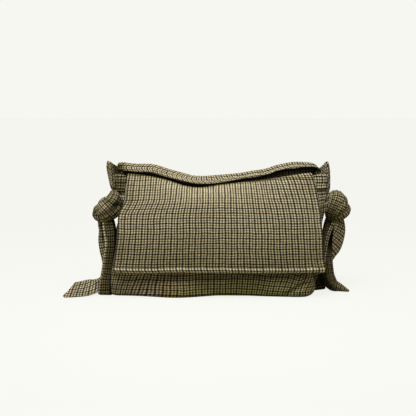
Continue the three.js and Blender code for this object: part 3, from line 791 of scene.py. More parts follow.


# Flap: each column is a smooth line from the free edge up the front, over the top and down to the hinge.
# The edges' rows hold a height and a half width, the lip's a place across and how far the top stands over
# the rim there, and the strap line's a place across and the height of the strap's lower edge, under which
# a shadow is painted on the flap.
flap = {
    "drop": 35.5, "stand": 8.0, "rootHalf": 120.0, "corner": 6.0, "halfWidth": 147, "lipHalf": 129,
    "columns": 191, "rows": 200,
    "leftEdge": [[35, 147.3], [48, 146.2], [65, 143.9], [85, 141.1], [101, 140.2], [111, 140.6], [116, 139.4],
                 [121, 135.8], [126, 132.6], [132, 131.2], [148, 129.4], [158, 128.6], [169, 128]],
    "rightEdge": [[35, 148.6], [47, 147.2], [61, 145.2], [82, 143.6], [102, 142.6], [115, 141.2],
                  [129, 139.6], [140, 138.1], [152, 135.7], [160, 133.5], [167, 130.5], [172, 127]],
    "lip": [[-130, 13.0], [-97, 12.9], [-71, 10.6], [-52, 7.0], [-38, 6.0], [-25, 6.9], [-14, 10.0],
            [-6, 11.6], [5, 12.6], [18, 14.0], [31, 15.0], [44, 14.5], [58, 14.0], [84, 13.7], [115, 13.2],
            [130, 13.0]],
    "repeats": 34.3, "hem": 8.5, "sideHem": 9.0, "thick": 2.4, "facingThick": 1.0, "facingIn": 1.65,
    "strapLine": [[-129, 170.6], [-111, 168.8], [-97, 167.5], [-83, 165], [-69, 161.6], [-55, 157.3],
                  [-41, 154.2], [-27, 153.3], [-13, 154.3], [1, 156.1], [15, 157.1], [30, 158.5],
                  [58, 160.5], [87, 165]],
}


# half width of the flap at a height: a smooth line through the edge's rows, at each side its own
def flapEdge(share, z):
    return np.where(share < 0, throughRows(flap["leftEdge"], z), throughRows(flap["rightEdge"], z))


# The flap's middle surface: thirteen lines across it, from the free edge over the brow to behind the hinge,
# and smooth columns through them. Below the brow it stands off the front by a fixed gap; the top dips where
# the strap lies.
def flapMiddle(share, up):
    x = share * flap["lipHalf"]
    sag = sagShare(x)
    rim = frontTop(share * body["mouthHalfWidth"])
    lip = throughRows(flap["lip"], x)
    stand = flap["stand"]
    edge = 4 * np.abs(share) ** 4
    dip = bell(x + 27, 26)

    # a line across the front at a height
    def frontAt(z):
        return np.stack([share * flapEdge(share, z), -frontDepth(z) + edge - stand, z + 0 * share], -1)

    browY = -frontDepth(rim) + edge - stand
    hingeY = body["hingeY"]
    hingeZ = body["hingeZ"]

    # a line across the top, which narrows towards the hinge by a square
    def topAt(y, z):
        reached = np.clip((y - browY) / (hingeY - browY), 0, 1)
        half = mix(flapEdge(share, z), flap["rootHalf"], reached ** 2)
        return np.stack([share * half, y + 0 * share, z + 0 * share], -1)

    lines = np.stack([
        frontAt(flap["drop"] + 0.6 * np.abs(share) ** 6),
        frontAt(62.0 + 0 * share),
        frontAt(90.0 + 0 * share),
        frontAt(116.0 + 0 * share),
        frontAt(mix(134.0, 138.0, 1 - sag)),
        topAt(browY + 1.5, rim + 3),
        topAt(browY + 5, rim + 0.75 * lip - 1),
        topAt(browY + 9, rim + lip - 1.7),
        topAt(browY + 14, rim + lip - 2.6),
        topAt(mix(browY + 12, hingeY, 0.5), 166.5 - 9 * sag - 1.2 * dip),
        topAt(hingeY - 9, mix(167.0, 163.6, sag) - 2.6 * dip),
        topAt(hingeY + 0 * share, hingeZ - 2.4 * dip),
        topAt(hingeY + 0.5 + 0 * share, hingeZ - 3.6 - 1.5 * dip),
    ])
    places = [0, 0.16, 0.327, 0.482, 0.6, 0.667, 0.702, 0.732, 0.765, 0.857, 0.94, 0.982, 1]
    return through(places, lines, up)


# Creases and slack of the flap, as a push along its normal: broad sine waves, soft pleats under the strap,
# a dent under its dip, and a free edge that is wavy and turned out
def flapSlack(share, up, x, z):
    below = 1 - rise(0.67, 0.74, up)
    pleats = 0.9 * np.sin(x / 6.8 + 1.1 * np.sin(x / 31)) * bell(z - 146, 14) * below
    broad = 1.1 * np.sin(x / 37 + z / 60) + 0.8 * np.sin(x / 21 - z / 33 + 1)
    dent = -1.4 * bell(x + 30, 18) * bell(z - 146, 9) * below
    edge = 1.4 * np.sin(x / 24 + 0.7) * bell(z - 36, 14)
    edge = edge + 2.6 * np.clip(1 - (z - flap["drop"]) / 11, 0, 1) ** 1.5
    side = 1.5 * np.sin(z / 13 + 1) * np.abs(share) ** 8
    fade = rise(0, 0.1, up) * (1 - rise(0.86, 0.97, up))
    return (pleats + broad + dent + side) * fade + edge * (up < 0.5)


share = np.linspace(-1, 1, flap["columns"])
up = np.linspace(0, 1, flap["rows"])[:, None]
flapGrid = flapMiddle(share, up[:, 0])
rounding = (1 - arc(flapGrid[..., 2] - flap["drop"], flap["corner"])) * (up < 0.3)   # of the lower corners
flapGrid[..., 0] -= share[None, :] * flap["corner"] * rounding
flapPush = flapSlack(share[None, :], up, flapGrid[..., 0], flapGrid[..., 2])
flapGrid = flapGrid + gridNormals(flapGrid) * flapPush[..., None]
flapWay = gridNormals(flapGrid)
flapUp = runLength(flapGrid, 0)
fromSide = (1 - np.abs(share))[None, :] * flap["halfWidth"] + 0 * flapUp   # distance in from a side edge
# the turned hems stand up a little, with a groove along their sewing
hemBand = 1 - rise(flap["hem"] - 1.2, flap["hem"] + 1.2, flapUp)
sideBand = 1 - rise(flap["sideHem"] - 1.2, flap["sideHem"] + 1.2, fromSide)
sideGroove = bell(fromSide - flap["sideHem"], 1.5)
turned = np.maximum(hemBand, sideBand * (up < 0.7))
groove = np.maximum(bell(flapUp - flap["hem"], 1.3), sideGroove * (up < 0.7))
flapOuter = flapGrid + flapWay * (1.7 + 0.7 * turned - 0.8 * groove)[..., None]
repeatU = woolCheck["repeat"][0]
flapWeave = np.stack([share[None, :] * flap["repeats"] / 2 * repeatU + 0 * flapUp, flapUp], -1)
flapWeave[..., 0] -= hemBand * (flap["hem"] - flapUp) * 0.2   # the turned hem lies a little on the bias
flapWeave[..., 1] += hemBand * 2.6
drawn = rise(100, 165, flapGrid[..., 2])
flapWeave[..., 0] += drawn * (6.5 * bell(flapGrid[..., 0] - 78, 42) - 2.5 * bell(flapGrid[..., 0] + 95, 45))
hemHighlight = bell(flapUp - 6.4, 1.4)   # painted highlight along the top of the rolled hem
# the lines across grow faint at the top of the flap, and along the hem's painted highlight
acrossFade = rise(122, 150, flapOuter[..., 2]) * bell(flapOuter[..., 0] + 20, 75) * (up < 0.74)
acrossFade = np.maximum(acrossFade, hemHighlight)


# Painted shade of the flap: along its hems, towards its free edge, and under the strap, more so at the left
def flapShade(x, z):
    # painted shade in the hems' grooves, below the hem and on the bottom edge; painted highlight on the hem's
    # top
    hems = (0.4 * (sideGroove * (up < 0.68)) + 0.5 * bell(flapUp - flap["hem"] - 1, 1.2) - 0.5 * hemHighlight
            + 0.45 * (1 - rise(3.8, 5.0, flapUp)))
    # a painted shadow below the strap's lower edge
    belowStrap = throughRows(flap["strapLine"], x) - z
    line = 0.85 * (1 - rise(0.4, 2.6, belowStrap))
    wider = 0.4 * (1 - rise(0, 8, belowStrap)) * (1 - rise(-15, 25, x))
    strapShade = (line + wider) * rise(-3, -0.5, belowStrap) * (up < 0.8)
    return hems + 0.32 * (1 - rise(45, 125, z)) + strapShade


flapPaintedShade = flapShade(flapOuter[..., 0], flapOuter[..., 2])
flapSheet = patch(flapOuter, flapWeave, fade=acrossFade, soil=flapPaintedShade)
flapCloth = makePiece("flap_cloth", [flapSheet], wool, flap["thick"])
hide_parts("flap_outer")
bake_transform(flapCloth)

# the flap's lining, behind the cloth and a few grid lines in from its edges
facingPart = (slice(6, -14), slice(4, -4))
facing = (flapGrid - flapWay * flap["facingIn"])[facingPart]
facingWeave = np.stack([flapWeave[..., 0], flapUp], -1)[facingPart]
flapFacing = makePiece("flap_facing", [patch(facing, facingWeave)], lining, flap["facingThick"])
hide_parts("flap_lining")
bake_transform(flapFacing)
print("flap and its lining are made")


# a circle's sine or cosine squared off: its size to a power, its sign kept
def squared(value, power):
    return np.sign(value) * np.abs(value) ** power


# A soft band of cloth carried along a line: at each station a squared-off oval, wide across and thin along
# its face. The chosen rows hold place, face, width and thickness; creases are valleys along it, each a
# place across, which may change along it, a depth and a spread. Over the length end both ends are pressed
# flat by a quarter circle, so that the band is closed. curl is the radius that it is bent to across, and cut
# slants its far end. turn and gather turn the check and draw it together, skew slants it, offset shifts it,
# and fan keeps as many threads across all along.
def bandPatch(chosen, rows, sides, squareness=0.62, creases=(), end=2.5, curl=0, turn=0, gather=1, skew=None,
              offset=0.0, cut=0, soil=0.0, fan=0.0):
    chosen = np.array(chosen, float)
    places = runLength(chosen[:, :3], 0)
    total = places[-1]
    tip = np.minimum(end / total, 0.2) * np.linspace(0, 1, 6) ** 2   # closer rows where the ends flatten
    run = np.unique(np.concatenate([np.linspace(0, 1, rows), tip, 1 - tip]))
    t = run * total
    centre = through(places, chosen[:, :3], t)
    face = unit(through(places, chosen[:, 3:6], t))
    width = through(places, chosen[:, 6], t)
    thickness = through(places, chosen[:, 7], t)
    along = unit(np.gradient(centre, t, axis=0))
    across = unit(np.cross(face, along))
    face = unit(np.cross(along, across))
    taper = arc(np.minimum(t, total - t), end)
    angle = np.linspace(0, 2 * np.pi, sides, endpoint=False)
    a = squared(np.cos(angle), squareness)[None, :] + 0 * t[:, None]
    n = squared(np.sin(angle), squareness)[None, :] * taper[:, None]
    n = np.where(np.abs(n) < 1e-9, 0, n)
    sink = 0
    for place, depth, spread in creases:
        valley = depth * bell(a - given(place, run[:, None]), spread)
        sink = sink + valley * np.sign(n) * np.abs(n) ** 0.5   # less at the edges
    high = 0.5 * thickness[:, None] * n - sink * taper[:, None]
    if curl:
        high = high - (0.5 * width[:, None] * a) ** 2 / (2 * curl)
    width = width * (0.7 + 0.3 * taper)
    wide = 0.5 * width[:, None] * a
    points = centre[:, None] + across[:, None] * wide[..., None] + face[:, None] * high[..., None]
    if cut:
        points = points + along[:, None] * (cut * a * rise(0.72, 1, run)[:, None])[..., None]
    girth = runLength(closed(points), 1)
    if fan:
        girth = fan * girth / np.maximum(girth[:, -1:], 1e-6) * girth[:, -1].max()
    length = t[:, None] + 0 * girth
    if skew is not None:
        length = length + skew(run[:, None], closed(a) * 0.5 * width[:, None])
    cosine = math.cos(math.radians(turn)) * gather
    sine = math.sin(math.radians(turn)) * gather
    weave = np.stack([length * cosine - girth * sine, length * sine + girth * cosine], -1)
    return patch(points, weave + offset, ring=True, soil=given(soil, run[:, None], a))


# Strap: lies along the flap's top, arches over the right shoulder and turns back over both to the hinge
# line. The ends' rows hold place, face, width and thickness; those between hold x, then the back edge and
# the front edge.
strap = {
    "leftEnd": [
        [-130, 27.2, 162.0, 0, 0.9, 0.45, 14, 3.4],
        [-134, 23, 166.5, -0.15, 0.75, 0.65, 14, 4],
        [-141, 15, 173, -0.6, 0.3, 0.7, 13, 4.2],
        [-143.5, 7, 176.8, -0.8, -0.5, 0.2, 13, 4],
        [-138.5, 1, 178.2, -0.4, -0.9, 0.2, 14, 4],
    ],
    "edges": [
        [-129, 0, 184.8, -9, 172.9], [-116, -2, 184, -11.5, 171.8], [-95, -4, 183.6, -14, 171],
        [-72, -7, 177.2, -20, 165.4], [-46, -11, 170.6, -27, 159.3], [-34, -13, 167.4, -28.5, 157.5],
        [-20, -14, 167.8, -29, 156.5], [5, -13, 169.8, -26, 158.7], [31, -10, 172, -20, 163.6],
        [49, -8, 174.8, -17, 165.8], [70, -5, 178.1, -12.5, 169.4], [80, -3, 181.5, -11, 173.2],
        [90, -1, 183.9, -9.5, 175.6], [107, 1, 186.4, -8.5, 177.5], [121, 2, 186.2, -7, 179.1],
    ],
    "rightEnd": [
        [133, 0.6, 180.4, 0.4, -0.4, 0.82, 11, 4],
        [141.5, 7.5, 175.8, 0.65, 0, 0.76, 13, 4],
        [141, 15, 171, 0.5, 0.45, 0.75, 14, 4.2],
        [134, 23, 166, 0.15, 0.78, 0.62, 14, 4],
        [130, 27.2, 162.0, 0, 0.9, 0.45, 14, 3.4],
    ],
    "thick": 3.4, "squareness": 0.6, "grid": (260, 44), "gather": 1.15,
    "creaseAt": -0.05, "creaseDepth": 0.9, "creaseWidth": 0.16,
    "underGrid": (160, 24), "underPaintedShade": 1.5,
    # the lower layer under the fold, painted near black as its shade
    "under": [
        [-144, 9, 172.5, -0.4, -0.9, 0.1, 9, 3], [-138, 1, 172.4, -0.2, -1, 0.1, 9, 3],
        [-129, -5, 171.8, 0, -1, 0.1, 8.4, 3], [-97, -9, 169.4, 0, -1, 0.1, 8, 3],
        [-71, -15, 163.4, 0, -1, 0.1, 8, 3], [-46, -21, 156.4, 0, -1, 0.1, 10, 3],
        [-20, -22, 154.7, 0, -1, 0.1, 9, 3], [5, -20, 157.8, 0, -1, 0.1, 7.8, 3],
        [31, -14.5, 162.5, 0, -1, 0.1, 8.1, 3], [58, -10, 165.2, 0, -1, 0.1, 8.6, 3],
        [84, -4, 171.1, 0, -1, 0.1, 13.2, 3], [100, -3, 172.9, 0, -1, 0.1, 13.6, 3],
        [115, -1, 174.3, 0, -1, 0.1, 13.8, 3], [128, 2, 175, 0.1, -1, 0.1, 13, 3],
        [137, 7, 174.6, 0.3, -0.95, 0.1, 11, 3], [141, 13, 172.5, 0.5, -0.85, 0.1, 8, 3],
    ],
}


# rows between two edges: the middle of each pair, half the thickness below the face that both lie on
def rowsBetween(edges, thick):
    edges = np.array(edges, float)
    backEdge = edges[:, [0, 1, 2]]
    frontEdge = edges[:, [0, 3, 4]]
    middle = 0.5 * (backEdge + frontEdge)
    face = unit(np.cross(np.gradient(middle, axis=0), backEdge - frontEdge))
    width = np.linalg.norm(backEdge - frontEdge, axis=1)[:, None]
    return np.concatenate([middle - 0.5 * thick * face, face, width, np.full_like(width, thick)], 1).tolist()


# where the strap's crease lies across it: it wanders by a sine along the strap
def strapCrease(r):
    return strap["creaseAt"] + 0.06 * np.sin(r * 23)


# the check slants away from the crease on both sides, and at the left the other way on the upper one
def strapSkew(r, edge):
    upper = mix(-0.7, 0.15, rise(0.25, 0.5, r))
    return np.where(edge < -0.5, 0.85 * (edge + 0.5), upper * (edge + 0.5))


# painted shade of the strap: dark at its left end and along its lower edge, wider at the left; painted light
# by the crease
def strapShade(r, a):
    leftEnd = 1.25 * (1 - rise(0.09, 0.14, r)) * (1 - rise(0.3, 0.8, a))
    lowerEdge = 1.4 * (1 - rise(-1, mix(-0.5, -0.82, rise(0.5, 0.62, r)), a))
    softer = 0.35 * (1 - rise(-0.9, -0.55, a))
    lightest = 0.2 * bell(a + 0.3, 0.35) * rise(0.12, 0.16, r)
    return leftEnd + lowerEdge + softer - lightest


strapRows = strap["leftEnd"] + rowsBetween(strap["edges"], strap["thick"]) + strap["rightEnd"]
strapCreases = [(strapCrease, strap["creaseDepth"], strap["creaseWidth"])]
strapPatch = bandPatch(strapRows, *strap["grid"], strap["squareness"], creases=strapCreases,
                       gather=strap["gather"], skew=strapSkew, soil=strapShade)
strapUnder = bandPatch(strap["under"], *strap["underGrid"], soil=strap["underPaintedShade"])
strapBand = makePiece("strap_band", [strapPatch, strapUnder], wool)
settle(strapBand, "strap", "wool", "strap")
print("strap is made")


# Knots: a core of gathered cloth with bands of the ties wound over it. The places' rows hold how far out
# from the bag, forward and up from the knot's middle a band lies, its width and its thickness; the bands
# look away from the middle. Pleats are places across a band and their depths, turn is how the check lies on
# it, and its shade is painted shade, below 0 painted light.
# the pleat and edge shades are painted shade in a band's pleats and where its edges turn under the next
winding = {"grid": (60, 64), "squareness": 0.75, "end": 4, "curl": 14.5, "coreGrid": (15, 24),
           "gather": 1.4, "shift": 2.3, "fan": 0.8,
           "pleatDepth": 2.4, "pleatWidth": 0.1, "pleatPaintedShade": 0.7, "edgePaintedShade": 0.55}


# painted shade of the left knot's first band: dark along its upper edge, at its start and in one fold;
# painted light in one
def leftWrapShade(r, a):
    upper = 0.7 * rise(0.1, 0.7, a) + 1.1 * rise(0.6, 0.92, a)
    start = 0.4 * (1 - rise(0.15, 0.5, r)) + 0.12
    fold = 0.6 * bell(r - 0.33 + 0.06 * a, 0.06) - 0.3 * bell(r - 0.5, 0.1) * (1 - rise(-0.2, 0.4, a))
    return upper + start + fold


knots = {
    "left": {
        "side": -1, "centre": (-157, -18, 123.5), "core": (15, 12, 15),
        "bands": [
            {"places": [[-9, -4, 21.5, 12, 7], [-12, 5, 17, 19, 8], [-8, 12.5, 8.5, 21, 8],
                        [0.5, 15.5, 1, 24, 8.5], [8, 13.5, -6, 24, 8.5], [14.5, 6, -10, 22, 8],
                        [15, -5, -12, 16, 7], [8, -11, -12, 12, 6]],
             "pleats": [(-0.4, 0.5), (0.35, 0.5)], "turn": 4, "soil": leftWrapShade},
            {"places": [[-13, -5, 7, 12, 6], [-17.5, 4, 0, 16, 7.5], [-13, 11.5, -7, 18, 8.5],
                        [-4, 14.5, -12, 16, 8.5], [6, 12.5, -15, 14, 8], [13, 5, -15, 12, 7],
                        [14, -5, -13, 10, 6]],
             "pleats": [(-0.3, 0.5), (0.4, 0.7)], "turn": 14,
             "soil": lambda r, a: mix(0.95, 0.55, rise(0.4, 0.7, r))},
            {"places": [[12, -9, -8, 10, 6], [17, -1, -10.5, 12, 8], [15.5, 7, -13, 12, 8.5],
                        [8, 11.5, -16.5, 11, 8], [-2, 9.5, -18, 10, 7]],
             "pleats": [(0.1, 0.8)], "turn": 30, "soil": 0.4},
            {"places": [[-8, 0, 20, 12, 6], [-13, 2, 13, 17, 7], [-18, 1, 4, 19, 7], [-17, -2, -6, 16, 7],
                        [-8, -6, -14, 12, 6]],
             "pleats": [(0.0, 0.5)], "turn": 45, "soil": 1.15},
            {"places": [[-4, -10, 12.5, 11, 6], [2, -11, 8, 14, 7], [8, -8, 2.5, 17, 7.5],
                        [12, -3, -4, 18, 8], [12.5, 4, -11, 14, 7.5], [7, 9, -17, 11, 6]],
             "pleats": [(-0.2, 0.6), (0.4, 0.5)], "turn": 10, "soil": 0.4},
        ],
    },
    "right": {
        "side": 1, "centre": (167, -4, 125), "core": (14, 12.5, 16.5),
        "bands": [
            {"places": [[-9, 8, -20.5, 13, 7], [-9.6, 13, -11.5, 18, 8.5], [-5, 15, 1, 22, 9],
                        [-1, 13, 11.5, 26, 9], [-0.5, 5, 17.2, 23, 8], [1.5, -7, 15, 17, 7],
                        [3, -13, 8, 13, 6]],
             "pleats": [(-0.3, 0.5), (0.25, 0.5)], "turn": 0,
             "soil": lambda r, a: 0.75 * (1 - rise(0.12, 0.5, r)) + 0.3},
            {"places": [[0, 12, -17, 12, 7], [4, 15, -9, 16, 8.5], [9, 13.3, -1.5, 18, 9],
                        [11.2, 7.4, 6, 16, 8.5], [9.8, -4, 10.5, 14, 7.5], [5, -12, 8, 12, 6]],
             "pleats": [(0.1, 0.6)], "turn": 8, "soil": lambda r, a: 0.75 * (1 - rise(0.05, 0.5, r)) + 0.2},
            {"places": [[10, -12, 1.5, 12, 6], [16, -4, -4.5, 13, 7.5], [16.4, 5, -9, 14, 8.5],
                        [10, 12.3, -14, 14, 8.5], [1, 11, -18, 12, 7.5], [-5, 4, -19, 10, 6]],
             "pleats": [(-0.25, 0.6), (0.35, 0.5)], "turn": 6,
             "soil": lambda r, a: 0.5 * rise(0.5, 0.9, r) + 0.25},
            {"places": [[-4, 4, 17, 11, 7], [-9, 6, 12, 15, 8], [-11.5, 5, 4, 18, 8], [-12, -1, -6, 16, 7],
                        [-8, -8, -14, 13, 6]],
             "pleats": [(0.0, 0.7)], "turn": 15, "soil": 0.55},
        ],
    },
}


# oval core: a ball of circles from pole to pole, the poles at its sides, scaled three ways
def corePatch(centre, half):
    circles, sides = winding["coreGrid"]
    fromPole = np.linspace(0, np.pi, circles)
    around = np.linspace(0, 2 * np.pi, sides, endpoint=False)
    pole, turn = np.meshgrid(fromPole, around, indexing="ij")
    ball = np.stack([np.cos(pole), np.sin(pole) * np.cos(turn), np.sin(pole) * np.sin(turn)], -1)
    points = np.array(centre) + ball * np.array(half)
    turn = np.concatenate([turn, np.full((circles, 1), 2 * np.pi)], 1)
    return patch(points, np.stack([turn * half[0], -closed(pole) * half[2]], -1), ring=True)


# Painted shade of a wound band: its own, plus a rise where its edges turn under the next one and bells on
# its pleats
def woundPaintedShade(band, r, a):
    edges = winding["edgePaintedShade"] * rise(0.72, 0.98, np.abs(a))
    pleats = sum(bell(a - at, 0.09) for at, depth in band["pleats"])
    return given(band["soil"], r, a) + edges + winding["pleatPaintedShade"] * pleats


knotCloths = {}
for name, knot in knots.items():
    centre = np.array(knot["centre"], float)
    patches = [corePatch(centre, knot["core"])]
    for number, band in enumerate(knot["bands"]):
        local = np.array(band["places"], float)
        way = local[:, :3] * np.array([knot["side"], -1, 1])
        rows = np.concatenate([centre + way, unit(way), local[:, 3:5]], 1)
        creases = [(at, winding["pleatDepth"] * depth, winding["pleatWidth"]) for at, depth in band["pleats"]]
        patches.append(bandPatch(
            rows, *winding["grid"], winding["squareness"], creases=creases, end=winding["end"],
            curl=winding["curl"], turn=band["turn"], gather=winding["gather"], fan=winding["fan"],
            offset=winding["shift"] * number,
            soil=lambda r, a, band=band: woundPaintedShade(band, r, a)))
    knotCloths[name] = makePiece(f"{name}_knot_cloth", patches, wool)
    settle(knotCloths[name], "bag", "wool", f"{name}_knot")
print("knots are wound")


# Ties: from each seam of a gusset across it into the knot. Rows: place, face, width, thickness.
ties = {
    "left_front_tie": [[-136, -31, 124, -0.9, -0.4, 0, 17, 4], [-140, -25, 124.5, -0.95, -0.3, 0, 17, 4.5],
                       [-147, -20, 125, -0.9, -0.4, 0, 14, 5], [-155, -18, 125, -0.9, -0.4, 0, 11, 6]],
    "left_rear_tie": [[-134.6, 22.4, 123, -0.9, 0.45, 0, 17, 4], [-142, 16.5, 123.5, -0.97, 0.2, 0, 17, 4],
                      [-146, 7, 124, -1, 0, 0, 16, 4.5], [-149, -5, 124.5, -1, -0.2, 0, 14, 5],
                      [-155, -13, 125, -0.9, -0.4, 0, 11, 6]],
    "right_front_tie": [[139, -30, 122.5, 0.9, -0.4, 0, 13, 3.5], [149.5, -20.5, 123, 0.8, -0.6, 0, 13, 4],
                        [157, -12, 124, 0.8, -0.5, 0, 12, 5], [164, -6, 125, 0.9, -0.4, 0, 11, 6]],
    "right_rear_tie": [[135.6, 22.4, 123, 0.9, 0.45, 0, 17, 4], [149, 16.5, 123.5, 0.9, 0.4, 0, 17, 4.5],
                       [158, 9, 124, 0.8, 0.5, 0, 15, 5], [165, 1, 125, 0.8, 0.4, 0, 11, 6]],
}
tiePaintedShade = {"left": 1.25, "right": 0.5}   # painted shade: the left ones lie in the shadow of the knot
tieGrid = (40, 28)
tieCrease = (0.0, 0.7, 0.2)
for name, rows in ties.items():
    side = name.split("_")[0]
    tiePatch = bandPatch(rows, *tieGrid, creases=[tieCrease], soil=tiePaintedShade[side])
    piece = makePiece(f"{name}_cloth", [tiePatch], wool)
    settle(piece, "bag", "wool", name)


# the left rear tail's check: it slants one way where the tail turns and the other way on its blade
def bladeSkew(r, edge):
    return edge * (0.77 * rise(0.72, 1, r) - 0.5 * rise(0.5, 0.65, r))


# painted shade of the left rear tail above its blade: painted light, and dark beyond a line that crosses it
def behindShade(r, a):
    return (-0.5 + 1.9 * rise(-0.44, -0.2, a - 4.3 * (r - 0.07))) * (1 - rise(0.5, 0.62, r))


# painted shade of the right front tail: black inside its loop, then along its stem's left half; painted
# light at its toe
def stemShade(r, a):
    loop = 0.85 + 0.85 * rise(-0.1, 0.3, a)
    stem = 1.0 + 0.6 * (1 - rise(-0.5, 0.3, a))
    return mix(loop, stem, rise(0.32, 0.5, r)) - 0.5 * rise(0.78, 0.92, r)


# Tails: the loose ends, from under a knot down to the floor. Rows: place, face, width, thickness.
tailGrid = (130, 36)
tailGather = 1.1
tailShift = 1.7
# each band's shade is painted shade where shade falls on it, below 0 painted light on its lit rolls
tails = {
    "left_front_tail": {
        "pivot": (-161.046, -29.667, 104.089), "flat": (0.028, 0.112),
        "bands": [
            {"rows": [[-155.5, -20, 112, 0.2, -1, 0.2, 11, 8], [-154.5, -26, 105, 0.3, -1, 0.1, 15, 8.5],
                      [-152.3, -29, 90, 0.5, -0.9, 0, 17, 8], [-151.5, -30, 74, 0.55, -0.85, 0, 15, 7.5],
                      [-153.5, -31, 56, 0.55, -0.85, 0, 15.6, 7.5], [-156, -32, 36, 0.5, -0.88, 0, 15.4, 7],
                      [-158.4, -34.5, 20, 0.45, -0.9, 0, 17, 6.5], [-160, -37, 0.5, 0.4, -0.92, 0, 20, 6]],
             "creases": [(0.3, 0.6, 0.22)], "soil": lambda r, a: 1.12 + 0.6 * rise(0.25, 0.8, a)},
            {"rows": [[-161.5, -22, 110, -0.5, -0.9, 0.1, 4, 4],
                      [-161.8, -29.5, 102, -0.5, -0.9, 0, 4.5, 4.5],
                      [-160, -33, 88, -0.5, -0.9, 0, 4.5, 4.5], [-158.3, -34.5, 74, -0.5, -0.9, 0, 4, 4.5],
                      [-160.6, -35.5, 53, -0.5, -0.9, 0, 3.6, 4], [-163, -36.5, 36, -0.5, -0.9, 0, 3.4, 4],
                      [-166, -38, 20, -0.5, -0.9, 0, 3.4, 4], [-168.6, -40, 2.2, -0.5, -0.9, 0, 3.2, 3.6]],
             "creases": [], "soil": lambda r, a: mix(-0.75, 0.2, rise(0.3, 0.75, r))},
        ],
    },
    "left_rear_tail": {
        "pivot": (-168.856, -9.706, 103.586), "flat": (0.016, 0.175),
        "bands": [
            {"rows": [[-164, -10, 112, -0.2, -1, 0.1, 11, 7], [-166.5, -11, 101, -0.4, -0.9, 0, 12, 7],
                      [-165.5, -12, 89, -0.45, -0.9, 0, 11.5, 6.5], [-166, -12, 75, -0.45, -0.9, 0, 13, 6],
                      [-164, -12.5, 61, -0.4, -0.9, 0, 14, 6], [-160.5, -14, 47, -0.2, -1, 0, 14, 6],
                      [-158.5, -16.5, 34, 0, -1, 0.1, 14, 5.5], [-160, -22, 22, 0.2, -0.9, 0.35, 14, 5],
                      [-170, -30.5, 14.4, 0.25, -0.78, 0.55, 18, 4.5],
                      [-183.5, -37.3, 11.6, 0.1, -0.75, 0.62, 24.5, 4],
                      [-197.5, -41.8, 10.4, 0.05, -0.75, 0.62, 23.5, 3.6],
                      [-210.5, -45, 9.8, 0, -0.75, 0.62, 22, 3]],
             "creases": [(0.2, 0.5, 0.2)], "cut": 8.5, "skew": bladeSkew, "gather": 1.05,
             "soil": behindShade},
        ],
    },
    "right_front_tail": {
        "pivot": (168.379, -14.458, 101.235), "flat": (0.034, 0.12),
        "bands": [
            {"rows": [[166, -6, 110, -0.2, -1, 0.1, 9, 6], [162, -6, 100, -0.4, -0.9, 0, 15, 6],
                      [158.5, -6.5, 86, -0.5, -0.85, 0, 17, 6], [156.5, -8, 70, -0.5, -0.85, 0, 16, 6],
                      [155.3, -10.5, 50, -0.3, -0.95, 0, 16, 6.5], [155.6, -12.5, 33, 0, -1, 0, 18, 6.5],
                      [157.2, -14, 20, 0.1, -1, 0.1, 20, 6.5], [164, -15, 10.2, 0.1, -0.95, 0.3, 18, 5.5],
                      [173.5, -16, 6.6, 0.1, -0.9, 0.4, 12, 4.5], [187, -17.5, 1.6, 0, -0.9, 0.4, 2.6, 2.2]],
             "creases": [(0.35, 0.7, 0.25)], "gather": 1.4, "soil": stemShade},
            {"rows": [[171, -7.5, 111, 0.2, -1, 0.2, 10, 7], [171.8, -8.5, 103, 0.3, -0.95, 0, 14, 7.5],
                      [172.3, -9.5, 91, 0.35, -0.93, 0, 18, 7], [170.6, -10, 76, 0.35, -0.93, 0, 18, 6.5],
                      [167.6, -11.5, 62, 0.35, -0.93, 0, 13.5, 6], [164, -12.5, 51, 0.3, -0.95, 0, 5, 4],
                      [162.2, -12.5, 45, 0.3, -0.95, 0, 1.5, 2]],
             "creases": [(0.1, 0.7, 0.25)], "soil": 0.3, "turn": -28},
            {"rows": [[166, -9, 107, -0.4, -0.9, 0, 4, 4], [162.3, -12.5, 98, -0.4, -0.9, 0, 4, 4.5],
                      [158.2, -14, 88, -0.4, -0.9, 0, 4, 4.5], [154.3, -14.5, 74, -0.4, -0.9, 0, 3.8, 4.5],
                      [152, -15, 58, -0.4, -0.9, 0, 3.5, 4], [151, -15, 42, -0.4, -0.9, 0, 3.2, 4]],
             "creases": [], "soil": -0.1},
        ],
    },
    "right_rear_tail": {
        "pivot": (160.031, 6.291, 102.296), "flat": (0.02, 0.112),
        "bands": [
            {"rows": [[163, 2, 111, 0.2, -1, 0, 10, 7], [160, 4.5, 101, 0, -1, 0, 13, 7.5],
                      [157, 4, 84, -0.1, -1, 0, 15, 7], [154, 3, 62, -0.2, -1, 0, 15, 7],
                      [148.5, 2, 38, -0.2, -1, 0, 18, 6.5], [144, -2, 20, -0.2, -1, 0, 18.5, 6],
                      [146, -10, 1.6, -0.1, -1, 0.2, 17, 5]],
             "creases": [(0.0, 0.8, 0.25)], "soil": lambda r, a: 0.4 + 1.0 * rise(0.35, 0.75, r)},
        ],
    },
}
for name, tail in tails.items():
    patches = [bandPatch(band["rows"], *tailGrid, creases=band["creases"], soil=band["soil"],
                         gather=band.get("gather", tailGather), offset=tailShift * number,
                         turn=band.get("turn", 0), cut=band.get("cut", 0), skew=band.get("skew"))
               for number, band in enumerate(tail["bands"])]
    piece = makePiece(f"{name}_cloth", patches, wool)
    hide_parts(name)
    x, y, z = (value * millimetre for value in tail["pivot"])
    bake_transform(piece)
print("ties and tails are made")


liner = {"gap": 3.8, "bottom": 7.0, "rimDrop": 2.5, "sideTop": 157.0, "thick": 0.8,
         "squareness": (0.42, 0.62), "columns": 200, "rows": 60, "floorRows": 24}


